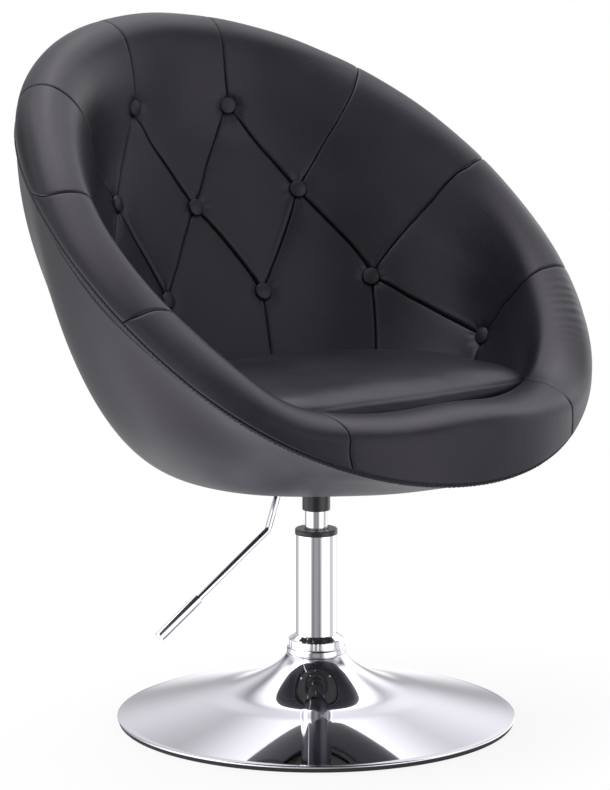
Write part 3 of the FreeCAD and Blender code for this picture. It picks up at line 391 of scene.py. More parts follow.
def hollow_point(turn, height):
    """Hollow's face: a quadratic Bezier curve from the roll's inner edge down to the seat deck."""
    sine, cosine = np.sin(turn), np.cos(turn)
    inner = section_point(turn, -np.ones_like(turn), crown_drop(turn) - lip_rise(turn))
    trim = 1 - HOLLOW_FRONT_TRIM * np.sin(2 * turn) ** 2 * (1 + cosine) / 2
    wide, deep, y, z, rise = HOLLOW_CONTROL
    control = np.stack([wide * trim * sine, y - deep * trim * cosine, z - rise * cosine], -1)
    wide, deep, y, z = HOLLOW_FLOOR
    floor = np.stack([wide * sine, y - deep * cosine, z + 0 * cosine], -1)
    t = height[..., None]
    return inner * (1 - t) ** 2 + 2 * control * t * (1 - t) + floor * t ** 2


def cubic(start, first, second, end, t):
    """Cubic Bezier curve: its four points weighted by the cubic Bernstein polynomials of t."""
    return start * (1 - t) ** 3 + 3 * first * t * (1 - t) ** 2 + 3 * second * t ** 2 * (1 - t) + end * t ** 3


def lining_point(degrees, height):
    """Lining's face: over the roll, across a taut cubic bridge tangent to both ends, down the hollow."""
    turn, height = np.broadcast_arrays(np.radians(degrees), np.asarray(height, float))
    ease = bell(off_front(np.degrees(turn)), ARM_EASE_PLACE, ARM_EASE_REACH)
    leave = -1 + ROLL_SIDE_SHARE + (1 - ROLL_SIDE_SHARE) * (ROLL_LEAVE - ARM_EASE[0] * ease) / 180
    join = HOLLOW_JOIN + ARM_EASE[1] * ease
    step = 1e-3
    top = roll_point(turn, leave)
    foot = hollow_point(turn, join)
    off_roll = unit(top - roll_point(turn, leave - step))
    onto_hollow = unit(hollow_point(turn, join + step) - foot)
    reach = np.linalg.norm(foot - top, axis=-1, keepdims=True) * BRIDGE_REACH
    t = np.clip((height - leave) / (join - leave), 0, 1)[..., None]
    bridge = cubic(top, top + off_roll * reach, foot - onto_hollow * reach, foot, t)
    over = roll_point(turn, np.minimum(height, leave))
    down = hollow_point(turn, np.maximum(height, join))
    return np.where((height < leave)[..., None], over,
                    np.where((height > join)[..., None], down, bridge))


def bowl_point(degrees, height):
    """Bowl's outer face: a cubic Bezier curve from the floor of the bowl (0) up to the outer seam (1)."""
    turn, height = np.broadcast_arrays(np.radians(degrees), np.asarray(height, float))
    seam = section_point(turn, np.ones_like(turn), series(ROLL_DROP, turn))
    away = unit(seam * np.array([1.0, 1.0, 0.0]))
    slope = np.radians(series(BOWL_SEAM_SLOPE, turn))[..., None]
    rise = UP * np.cos(slope) + away * np.sin(slope)
    floor = away * BOWL_FLOOR_RADIUS + UP * BOWL_FLOOR_Z
    low = floor + away * series(BOWL_LOW_FULLNESS, turn)[..., None]
    high = seam - rise * series(BOWL_HIGH_FULLNESS, turn)[..., None]
    return cubic(floor, low, high, seam, height[..., None])


def face_normal(surface, degrees, height):
    """Unit normal of a surface: the cross product of its two central differences."""
    round_step, height_step = 0.2, 1e-3
    around = surface(degrees + round_step, height) - surface(degrees - round_step, height)
    low = np.maximum(height - height_step, -1.0)
    high = np.minimum(height + height_step, 1.0)
    down = surface(degrees, high) - surface(degrees, low)
    return unit(np.cross(around, down))


def seam_pull(degrees):
    """Direction in which the outer seam is pulled: between the inward normals of roll and bowl."""
    roll_height, bowl_height = -0.99, 0.98
    roll = face_normal(lining_point, degrees, np.full_like(degrees, roll_height))
    bowl = face_normal(bowl_point, degrees, np.full_like(degrees, bowl_height))
    return -unit(roll + bowl)


# ---- Meshes from grids ----

def circle(count):
    """Angles evenly round a circle, falling, so that the faces of a turned profile look outwards."""
    return np.linspace(2 * np.pi, 0, count + 1)[:-1]


def grid_faces(rows, columns, wrap_rows, wrap_columns):
    """Four-cornered faces between neighbours of a rows by columns grid."""
    index = np.arange(rows * columns).reshape(rows, columns)
    if wrap_rows:
        index = np.vstack([index, index[:1]])
    if wrap_columns:
        index = np.hstack([index, index[:, :1]])
    corners = [index[:-1, :-1], index[1:, :-1], index[1:, 1:], index[:-1, 1:]]
    return np.stack(corners, -1).reshape(-1, 4)


def mesh_piece(name, points, faces, material):
    """Object with these points and faces, smooth shaded, at the origin."""
    mesh = bpy.data.meshes.new(name)
    mesh.vertices.add(len(points))
    mesh.vertices.foreach_set("co", np.asarray(points, np.float32).ravel())
    mesh.loops.add(faces.size)
    mesh.loops.foreach_set("vertex_index", faces.astype(np.int32).ravel())
    mesh.polygons.add(len(faces))
    starts = np.arange(0, faces.size, faces.shape[1], dtype=np.int32)
    mesh.polygons.foreach_set("loop_start", starts)
    mesh.polygons.foreach_set("use_smooth", np.ones(len(faces), bool))
    mesh.update(calc_edges=True)
    mesh.validate()
    piece = bpy.data.objects.new(name, mesh)
    bpy.context.scene.collection.objects.link(piece)
    mesh.materials.append(material)
    return piece


def grid_piece(name, points, material, wrap_rows=False, wrap_columns=False):
    """Object of a (rows, columns, 3) array of points."""
    faces = grid_faces(points.shape[0], points.shape[1], wrap_rows, wrap_columns)
    return mesh_piece(name, points.reshape(-1, 3), faces, material)


def merged(piece):
    """Closes the piece's poles: points that lie in one place become one."""
    form = bmesh.new()
    form.from_mesh(piece.data)
    bmesh.ops.remove_doubles(form, verts=form.verts, dist=0.001 * MM)
    form.to_mesh(piece.data)
    form.free()
    return piece


def backed(piece, thickness):
    """Gives a sheet its thickness on the side away from its faces."""
    modifier = piece.modifiers.new("thickness", "SOLIDIFY")
    modifier.thickness = thickness
    modifier.offset = -1
    return piece


# ---- Lining panels ----

def mirrored(path):
    """The same path on the sitter's right half, through that half's own buttons."""
    return tuple(RIGHT_PLACES.get(point, (360 - point[0], point[1])) for point in path)


def arc_table():
    """Distance along the lining from the outer seam, by degrees round and height down."""
    degrees, heights = np.arange(-60.0, 361.0, 2.0), np.linspace(-1, 1, 401)
    points = lining_point(*np.meshgrid(degrees, heights, indexing="ij"))
    steps = np.linalg.norm(np.diff(points, axis=1), axis=-1)
    return degrees, heights, np.hstack([np.zeros((len(degrees), 1)), np.cumsum(steps, axis=1)])


ARC_TABLE = arc_table()


def arc_row(degrees):
    """The arc table's distances at one place round, blended from its two neighbours."""
    places, _, distances = ARC_TABLE
    row = (degrees - places[0]) / (places[1] - places[0])
    index = min(int(row), len(places) - 2)
    return distances[index] * (1 - row + index) + distances[index + 1] * (row - index)


def rounded(corners):
    """Dense path through corners, whose bends are averaged over the lining's true distances."""
    steps, reach = 30, 18            # between two corners, and averaged to either side
    corners = np.array([(degrees, np.interp(height, ARC_TABLE[1], arc_row(degrees)))
                        for degrees, height in corners])
    share = np.linspace(0, len(corners) - 1, steps * (len(corners) - 1) + 1)
    path = np.stack([np.interp(share, np.arange(len(corners)), corners[:, i]) for i in (0, 1)], -1)
    before = 2 * path[:1] - path[reach:0:-1]
    after = 2 * path[-1:] - path[-2:-reach - 2:-1]
    padded = np.concatenate([before, path, after])
    weights = np.hanning(2 * reach + 3)[1:-1]
    weights /= weights.sum()
    path = np.stack([np.convolve(padded[:, i], weights, "valid") for i in (0, 1)], -1)
    heights = [np.interp(arc, arc_row(degrees), ARC_TABLE[1]) for degrees, arc in path]
    return np.stack([path[:, 0], heights], -1)


def joined(*runs):
    """Dense path through several runs of corners, with a true corner where two runs meet."""
    paths = [rounded(run) for run in runs]
    return np.concatenate([paths[0]] + [path[1:] for path in paths[1:]])


def path_lengths(path):
    """Distance along the lining from a path's start to each of its points."""
    points = lining_point(path[:, 0], path[:, 1])
    return np.r_[0, np.cumsum(np.linalg.norm(np.diff(points, axis=0), axis=1))]


def along_path(path, shares):
    """Points of a path at these shares of its length."""
    lengths = path_lengths(path)
    return np.stack([np.interp(shares * lengths[-1], lengths, path[:, i]) for i in (0, 1)], -1)


def spread(length):
    """Shares from 0 to 1, fine steps at both ends that grow to coarse ones in the middle."""
    growth, graded_share = 1.22, 0.7
    steps = [SEAM_STEP]
    while steps[-1] * growth < CELL_STEP and 2 * sum(steps) < length * graded_share:
        steps.append(steps[-1] * growth)
    rest = length - 2 * sum(steps)
    count = max(1, round(rest / CELL_STEP))
    steps = np.array(steps + [rest / count] * count + steps[::-1])
    return np.r_[0, np.cumsum(steps)] / steps.sum()


def patch(rim, foot, near, far):
    """Grid of (degrees, height) between four paths: Coons blend of the two pairs of sides."""
    wide = (path_lengths(rim)[-1] + path_lengths(foot)[-1]) / 2
    tall = (path_lengths(near)[-1] + path_lengths(far)[-1]) / 2
    across, down = spread(wide), spread(tall)
    a, b = across[:, None, None], down[None, :, None]
    rim_points, foot_points = along_path(rim, across)[:, None], along_path(foot, across)[:, None]
    near_points, far_points = along_path(near, down)[None], along_path(far, down)[None]
    corners = ((1 - a) * (1 - b) * rim[0] + a * (1 - b) * rim[-1]
               + (1 - a) * b * foot[0] + a * b * foot[-1])
    return (1 - b) * rim_points + b * foot_points + (1 - a) * near_points + a * far_points - corners


def path_distance(points, path):
    """Shortest distance from each point to a path on the lining, taken to its straight pieces."""
    shares = np.linspace(0, 1, 61)
    line = along_path(path, shares)
    ends = lining_point(line[:, 0], line[:, 1])
    flat = points.reshape(-1, 3)
    nearest = np.full(len(flat), 1e9)
    for start, end in zip(ends[:-1], ends[1:]):
        run = end - start
        share = np.clip((flat - start) @ run / (run @ run + 1e-12), 0, 1)[:, None]
        gap = flat - start - share * run
        nearest = np.minimum(nearest, np.einsum("ij,ij->i", gap, gap))
    return np.sqrt(nearest).reshape(points.shape[:-1])


def unevenness(points, seed, wavelength):
    """Smooth random waviness from -1 to 1: the mean of eight sine waves of random direction."""
    waves, gain = 8, 1.6
    draw = np.random.default_rng(seed)
    directions = unit(draw.normal(size=(waves, 3)))
    directions = directions * (2 * np.pi / wavelength) * draw.uniform(0.6, 1.4, (waves, 1))
    phases = draw.uniform(0, 2 * np.pi, waves)
    return np.mean(np.sin(points @ directions.T + phases), axis=-1) * gain


def button_spots():
    """Every button: its degrees round, its height on the lining, and its height down the hollow."""
    spots = []
    for place in (HIGH, MIDDLE, SIDE, LOW, ARM, HIP):
        spots.append((*place, BUTTON_HEIGHTS.get(place, place[1])))
        if place is not MIDDLE:
            degrees, height = mirrored([place])[0]
            spots.append((degrees, height, RIGHT_HEIGHTS.get(place, height)))
    return spots


def smooth_step(low, high, value):
    """Rises from 0 at low to 1 at high along a cubic."""
    t = np.clip((value - low) / (high - low), 0, 1)
    return t * t * (3 - 2 * t)


def seam_groove(distance, width):
    """Depth of a seam's groove, from 1 at the seam: a bell curve with a sharper foot."""
    return np.exp(-(distance / width) ** GROOVE_POWER)


def lining_rise(degrees, height, settings):
    """Rise of the padding: the rim's to the pad's down the hollow, thinner at the front, less the press
    of the cushion's front corners."""
    off = off_front(degrees)
    extra = settings.pad_rise - settings.rim_rise
    down = smooth_step(*PAD_HEIGHTS, height)
    front = smooth_step(*FRONT_PLACES, off)
    pressed = (bell(off, CORNER_PRESS_PLACE[0], CORNER_PRESS_REACH[0])
               * bell(height, CORNER_PRESS_PLACE[1], CORNER_PRESS_REACH[1]))
    return settings.rim_rise + extra * down - FRONT_THINNING * extra * front * down - CORNER_PRESS * pressed


def button_pull(points, height, settings):
    """Blends the padding's rise down to each button's seat, with small gathers round it."""
    for index, (degrees, place, depth) in enumerate(button_spots()):
        degrees, place, depth = np.array([degrees]), np.array([place]), np.array([depth])
        seat = hollow_point(np.radians(degrees), depth)[0]
        foot = lining_point(degrees, place)[0]
        normal = face_normal(lining_point, degrees, place)[0]
        target = (seat - foot) @ normal + BUTTON_LIFT
        gap = points - foot
        flat = gap - (gap @ normal)[..., None] * normal
        radius = np.linalg.norm(flat, axis=-1)
        fall = np.exp(-(radius / settings.button_pull) ** PULL_POWER)
        height = height * (1 - fall) + target * fall
        side = unit(np.cross(normal, UP))
        bearing = np.arctan2(flat @ np.cross(normal, side), flat @ side)
        folds = sum(share * np.cos(count * bearing + turn * index) for count, share, turn in GATHERS)
        height = height + GATHER_HEIGHT * folds * bell(radius, GATHER_RADIUS, GATHER_REACH)
    return height


def arm_wrinkles(points, degrees, height):
    """Fine wrinkles over the left arm's top: crossing ridges of a bent sine, faded at their ends."""
    where = (bell(degrees, WRINKLE_PLACE[0], WRINKLE_REACH[0])
             * bell(height, WRINKLE_PLACE[1], WRINKLE_REACH[1]))
    seed, wavelength, size = WRINKLE_BEND
    bend = size * unevenness(points, seed, wavelength) + WRINKLE_SLANT * height
    ridges = np.sin(2 * np.pi * degrees / WRINKLE_PITCH + bend)
    seed, wavelength, share = WRINKLE_GAPS
    return WRINKLE_HEIGHT * where * ridges * (1 - share + share * unevenness(points, seed, wavelength))


def panel_points(sides, lips, tucks, settings):
    """Lining's face raised by its padding.

    The rise is the padding's, times one less a falling exponential of the distance to each side,
    less a groove at each side. Lips add a soft bulge beside their side, and tucks slope away."""
    places = patch(*[sides[key] for key in ("rim", "foot", "near", "far")])
    degrees, height = places[..., 0], places[..., 1]
    base = lining_point(degrees, height)
    normals = face_normal(lining_point, degrees, height)
    rise = lining_rise(degrees, height, settings)
    pillow = np.ones_like(rise)
    groove = np.zeros_like(rise)
    bulge = np.zeros_like(rise)
    outer = np.zeros_like(rise)
    for key, path in sides.items():
        if np.all(path[:, 1] > SIDE_AT_EDGE):
            continue
        distance = path_distance(base, path)
        if np.all(path[:, 1] < -SIDE_AT_EDGE):
            outer = seam_groove(distance, OUTER_GROOVE * settings.seam_width)
            continue
        soft = LIP_SOFTNESS if key in lips else TUCK_SOFTNESS if key in tucks else EDGE_SOFTNESS
        pillow *= 1 - (TUCK_FALL if key in tucks else EDGE_FALL) * np.exp(-distance / soft)
        groove = np.maximum(groove, seam_groove(distance, settings.seam_width))
        if key in lips:
            bulge += LIP_BULGE * bell(distance, LIP_BULGE_PLACE, LIP_BULGE_REACH)
    seed, wavelength, wave_height = PANEL_WAVE
    lift = rise * pillow + bulge * smooth_step(*LIP_BULGE_HEIGHTS, height)
    lift += wave_height * unevenness(base, seed, wavelength) * pillow
    lift += arm_wrinkles(base, degrees, height) * pillow
    lift = button_pull(base, lift, settings)
    lift -= settings.seam_depth * groove
    points = base + normals * lift[..., None]
    return points + seam_pull(degrees) * (settings.seam_depth * OUTER_PULL * outer)[..., None]


def panel_table():
    """Sides of every panel: paths of (degrees, height) on the lining, with its lips and tucks."""
    table = []

    def add(name, nodes, rim, foot, near, far, lips=(), tucks=()):
        """Panel with four sides, each of one or more runs of corners."""
        sides = {"rim": joined(*rim), "foot": joined(*foot), "near": joined(*near), "far": joined(*far)}
        table.append((name, nodes, sides, lips, tucks))

    def other_half(runs, backwards):
        """Runs on the sitter's right half, end to start where asked."""
        turned = [mirrored(run) for run in runs]
        return [run[::-1] for run in turned[::-1]] if backwards else turned

    def add_pair(name, nodes, rim, foot, near, far, lips=(), tucks=()):
        """Panel of the sitter's left, and its counterpart with near and far exchanged."""
        swap = {"near": "far", "far": "near"}
        add(name % "left", [node % "left" for node in nodes], rim, foot, near, far, lips, tucks)
        add(name % "right", [node % "right" for node in nodes], other_half(rim, True),
            other_half(foot, True), other_half(far, False), other_half(near, False),
            [swap.get(key, key) for key in lips], [swap.get(key, key) for key in tucks])

    def round_seam(*seams):
        """The outer seam from one seam's end to the next one's."""
        return [tuple(seam[0] for seam in seams)]

    front_right = tuple((-degrees, height) for degrees, height in FRONT_SEAM)
    add("panel_front", ["roll_panel_front", "front_pad"], round_seam(front_right, FRONT_SEAM),
        [(front_right[-1], FRONT_FOOT)], [front_right], [FRONT_SEAM])
    add("panel_top", ["roll_panel_top"], round_seam(CROWN_SEAM, mirrored(CROWN_SEAM)),
        [TOP_CREASE, mirrored(TOP_CREASE)[::-1]], [CROWN_SEAM], [mirrored(CROWN_SEAM)], lips=("foot",))
    add_pair("panel_%s_4", ["roll_panel_%s_4"], round_seam(SHOULDER_SEAM, CROWN_SEAM), [SIDE_CREASE],
             [SHOULDER_SEAM], [CROWN_SEAM], lips=("foot",))
    add_pair("panel_%s_3", ["roll_panel_%s_3"], round_seam(ARM_SEAM, SHOULDER_SEAM), [ARM_CREASE],
             [ARM_SEAM], [SHOULDER_SEAM], lips=("foot",))
    add_pair("panel_%s_2", ["roll_panel_%s_2"], round_seam(HIP_SEAM, ARM_SEAM), [HIP_CREASE],
             [HIP_SEAM], [ARM_SEAM], lips=("foot",))
    add_pair("panel_%s_1", ["roll_panel_%s_1"], round_seam(FRONT_SEAM, HIP_SEAM),
             [(FRONT_FOOT, HIP_FOOT)], [FRONT_SEAM], [HIP_SEAM, (HIP, HIP_FOOT)])
    add_pair("diamond_%s", [], [SIDE_CREASE], [LOW_CREASE], [FLANK_CREASE], [TOP_CREASE],
             lips=("foot", "near"), tucks=("rim", "far"))
    add_pair("back_panel_%s_inner", [], [ARM_CREASE, FLANK_CREASE], [(ARM_FOOT, LOW_FOOT)],
             [(ARM, ARM_FOOT)], [(LOW, LOW_FOOT)], tucks=("rim",))
    add_pair("back_panel_%s_outer", [], [HIP_CREASE], [(HIP_FOOT, ARM_FOOT)],
             [(HIP, HIP_FOOT)], [(ARM, ARM_FOOT)], tucks=("rim",))
    add("back_panel_middle", ["back_pad"], [LOW_CREASE, mirrored(LOW_CREASE)[::-1]],
        [(LOW_FOOT, mirrored([LOW_FOOT])[0])], [(LOW, LOW_FOOT)], [mirrored((LOW, LOW_FOOT))],
        tucks=("rim",))
    return table


def button_profile(radius):
    """Covered button from its centre to its underside: a low dome, a rounded rim and a tucked edge."""
    dome_share, crown, fall = 0.78, 7.0 * MM, 2.0 * MM
    rim_foot, rim_height = 2.0 * MM, 3.8 * MM
    turn = np.linspace(0, np.pi / 2, 10)
    across = np.linspace(0, dome_share, 8)[:-1]
    dome = np.stack([across * radius, crown - fall * across ** 2], -1)
    rim = np.stack([radius * (dome_share + (1 - dome_share) * np.sin(turn)),
                    rim_foot + rim_height * np.cos(turn)], -1)
    under = np.array([[0.93 * radius, 0.6 * MM], [0.6 * radius, -1.0 * MM], [0.0, -1.2 * MM]])
    return np.concatenate([dome, rim, under])


# ---- Materials ----

class Tree:
    """Node tree of a material or world, with short ways to add the nodes that the finishes share."""

    def __init__(self, owner):
        owner.use_nodes = True
        self.nodes, self.links = owner.node_tree.nodes, owner.node_tree.links

    def add(self, kind, operation=None):
        """New node, with its operation where it has one."""
        node = self.nodes.new("ShaderNode" + kind)
        if operation:
            node.operation = operation
        return node

    def noise(self, vector, scale, detail=3.0, roughness=0.5):
        """Fractal noise over a vector, its scale in cells a metre."""
        node = self.add("TexNoise")
        node.inputs["Scale"].default_value = scale
        node.inputs["Detail"].default_value = detail
        node.inputs["Roughness"].default_value = roughness
        self.links.new(vector, node.inputs["Vector"])
        return node.outputs["Fac"]

    def ranged(self, value, low, high, to_low, to_high):
        """Value's run from low to high, carried over to another range."""
        node = self.add("MapRange")
        for key, number in (("From Min", low), ("From Max", high), ("To Min", to_low), ("To Max", to_high)):
            node.inputs[key].default_value = number
        self.links.new(value, node.inputs["Value"])
        return node.outputs["Result"]

    def blend(self, factor, first, second):
        """Mix of two shaders."""
        node = self.add("MixShader")
        for socket, output in zip(node.inputs, (factor, first, second)):
            self.links.new(output, socket)
        return node.outputs["Shader"]


class Finish(Tree):
    """Material with its shader's sockets, and its patterns' place on the object."""

    def __init__(self, name, **sockets):
        self.material = bpy.data.materials.new(name)
        super().__init__(self.material)
        self.shader = self.nodes["Principled BSDF"].inputs
        self.place = self.add("TexCoord").outputs["Object"]
        for key, value in sockets.items():
            self.shader[key.replace("_", " ")].default_value = value

    def pattern(self, scale, detail=3.0, roughness=0.5):
        """Noise over the object."""
        return self.noise(self.place, scale, detail, roughness)

    def coloured(self, factor, first, second):
        """Base colour between two colours."""
        node = self.add("Mix")
        node.data_type = "RGBA"
        node.inputs["A"].default_value = first
        node.inputs["B"].default_value = second
        self.links.new(factor, node.inputs["Factor"])
        self.links.new(node.outputs["Result"], self.shader["Base Color"])

    def polished(self, value, low, high, least, most):
        """Roughness from least to most over a pattern's run from low to high."""
        self.links.new(self.ranged(value, low, high, least, most), self.shader["Roughness"])

    def embossed(self, *layers):
        """Bumps laid over each other, each a pattern with its depth and strength; ends the material."""
        normal = None
        for height, distance, strength in layers:
            node = self.add("Bump")
            node.inputs["Distance"].default_value = distance
            node.inputs["Strength"].default_value = strength
            self.links.new(height, node.inputs["Height"])
            if normal is not None:
                self.links.new(normal, node.inputs["Normal"])
            normal = node.outputs["Normal"]
        self.links.new(normal, self.shader["Normal"])
        return self.material


def toned(colour, share):
    """Opaque colour with its brightness multiplied by a share."""
    return tuple(share * part for part in colour[:3]) + (1.0,)


def leatherette(name, colour):
    """Black leatherette: pebbled grain of small cells, faint creases, uneven sheen."""
    finish = Finish(name, Specular_IOR_Level=0.34, Specular_Tint=(0.96, 0.92, 1.0, 1.0))
    cells = finish.add("TexVoronoi")
    cells.feature = "SMOOTH_F1"
    cells.inputs["Scale"].default_value = 620.0
    cells.inputs["Smoothness"].default_value = 0.35
    finish.links.new(finish.place, cells.inputs["Vector"])
    pores = finish.pattern(1500.0, detail=2.0)
    creases = finish.pattern(130.0, detail=6.0, roughness=0.68)
    patches = finish.pattern(9.0)
    finish.coloured(finish.ranged(patches, 0.3, 0.7, 0.0, 1.0), toned(colour, 0.72), toned(colour, 1.3))
    finish.polished(patches, 0.3, 0.7, 0.34, 0.43)
    return finish.embossed((cells.outputs["Distance"], 0.16 * MM, 0.55), (pores, 0.05 * MM, 0.5),
                           (creases, 0.40 * MM, 0.45))


def chrome(name, colour, roughness):
    """Chrome plate: mirror with a faint orange-peel ripple and light wiping marks in its gloss."""
    finish = Finish(name, Base_Color=colour, Metallic=1.0)
    finish.polished(finish.pattern(22.0, detail=4.0, roughness=0.6), 0.35, 0.75, roughness, roughness * 2.2)
    return finish.embossed((finish.pattern(60.0, detail=1.0), 0.02 * MM, 0.15))


def steel(name, colour, roughness):
    """Plain or plated steel: fine rolled grain and uneven gloss."""
    finish = Finish(name, Metallic=1.0)
    blotches = finish.pattern(35.0, detail=5.0, roughness=0.6)
    finish.coloured(blotches, toned(colour, 0.8), colour)
    finish.polished(blotches, 0.3, 0.7, roughness, roughness + 0.12)
    return finish.embossed((finish.pattern(700.0, detail=2.0), 0.03 * MM, 0.3))


def plastic(name, colour, roughness):
    """Moulded plastic or rubber: very fine spark texture and slight mottling."""
    finish = Finish(name)
    mottle = finish.pattern(40.0, detail=4.0)
    finish.coloured(mottle, toned(colour, 0.85), colour)
    finish.polished(mottle, 0.3, 0.7, roughness, roughness + 0.08)
    return finish.embossed((finish.pattern(1200.0, detail=2.0), 0.03 * MM, 0.4))


def sewing_thread(colour):
    """Black polyester thread: dull, with twisted plies across it."""
    finish = Finish("sewing_thread", Base_Color=colour, Roughness=0.8, Specular_IOR_Level=0.08)
    return finish.embossed((finish.pattern(1800.0, detail=1.0), 0.05 * MM, 0.6))


def plywood(name):
    """Black-stained plywood: stretched grain on the faces, plies on the edge."""
    finish = Finish(name, Roughness=0.6)
    stretch = finish.add("Mapping")
    stretch.inputs["Scale"].default_value = (3.0, 40.0, 700.0)
    finish.links.new(finish.place, stretch.inputs["Vector"])
    grain = finish.noise(stretch.outputs["Vector"], 1.0, 5.0, 0.6)
    finish.coloured(grain, (0.030, 0.026, 0.022, 1.0), (0.060, 0.052, 0.044, 1.0))
    return finish.embossed((grain, 0.1 * MM, 0.3))


def slot_materials(settings):
    """Material of every slot of the record that carried-over parts use."""
    plate = tuple(settings.chrome)
    made = {
        "chrome_plate": (chrome, "chrome_plate", plate, 0.03),
        "chrome_bar": (chrome, "chrome_bar", plate, 0.05),
        "hard_chrome": (chrome, "hard_chrome", (0.74, 0.74, 0.76, 1.0), 0.09),
        "floor_rubber": (plastic, "floor_rubber", (0.03, 0.03, 0.03, 1.0), 0.75),
        "black_plastic": (plastic, "black_plastic", (0.018, 0.018, 0.02, 1.0), 0.28),
        "nylon": (plastic, "nylon", (0.75, 0.73, 0.66, 1.0), 0.45),
        "black_steel": (plastic, "black_enamel", (0.02, 0.02, 0.02, 1.0), 0.35),
        "raw_steel": (steel, "mill_steel", (0.42, 0.42, 0.43, 1.0), 0.4),
        "bearing_steel": (steel, "ground_steel", (0.6, 0.6, 0.62, 1.0), 0.18),
        "zinc_steel": (steel, "zinc_plate", (0.62, 0.62, 0.64, 1.0), 0.3),
        "plywood": (plywood, "stained_plywood"),
        "moulded_shell": (plastic, "shell_moulding", (0.10, 0.10, 0.10, 1.0), 0.55),
        "black_leatherette": (scene_leather,),
    }
    return {slot: maker(*values) for slot, (maker, *values) in made.items()}


def scene_leather():
    """The one leatherette material, made when first asked for."""
    name = "black_leatherette_finish"
    return bpy.data.materials.get(name) or leatherette(name, tuple(bpy.context.scene.tub_finish.leather))


def finished(piece, *nodes):
    """Rides a new leather piece on the seat in place of CAD nodes."""
    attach(piece, SEAT)
    if nodes:
        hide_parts(*nodes)
    return piece


# ---- Operators ----

class TUBCHAIR_OT_lining(bpy.types.Operator):
    """Make the sewn panels of the rim and the buttoned back"""
    bl_idname = "tubchair.lining"
    bl_label = "Lining panels"

    def execute(self, context):
        settings = context.scene.tub_lining
        leather = scene_leather()
        for name, nodes, sides, lips, tucks in panel_table():
            points = panel_points(sides, lips, tucks, settings)
            piece = backed(grid_piece(name, points, leather), settings.leather_thickness)
            finished(piece, *nodes)
        return {"FINISHED"}


class TUBCHAIR_OT_buttons(bpy.types.Operator):
    """Make the covered buttons of the back"""
    bl_idname = "tubchair.buttons"
    bl_label = "Covered buttons"

    def execute(self, context):
        """Turns the profile round each button's axis: centre, plus cosine and sine of the turn times
        the radius across, plus the height along the axis."""
        profile = button_profile(context.scene.tub_lining.button_radius)
        turns = circle(32)
        ring = np.stack([np.cos(turns), np.sin(turns)], -1)
        blocks, faces, count = [], [], 0
        for degrees, place, depth in button_spots():
            degrees = np.array([degrees])
            axis = face_normal(lining_point, degrees, np.array([max(place, BUTTON_AXIS_LEAST)]))[0]
            centre = hollow_point(np.radians(degrees), np.array([depth]))[0] + axis * BUTTON_LIFT
            side = unit(np.cross(axis, UP))
            flat = ring[:, None, 0:1] * side + ring[:, None, 1:2] * np.cross(axis, side)
            block = centre + flat * profile[None, :, 0:1] + axis * profile[None, :, 1:2]
            blocks.append(block.reshape(-1, 3))
            faces.append(grid_faces(len(turns), len(profile), True, False) + count)
            count += len(blocks[-1])
        points, faces = np.concatenate(blocks), np.concatenate(faces)
        piece = mesh_piece("covered_buttons", points, faces, scene_leather())
        finished(merged(piece), "back_buttons")
        return {"FINISHED"}


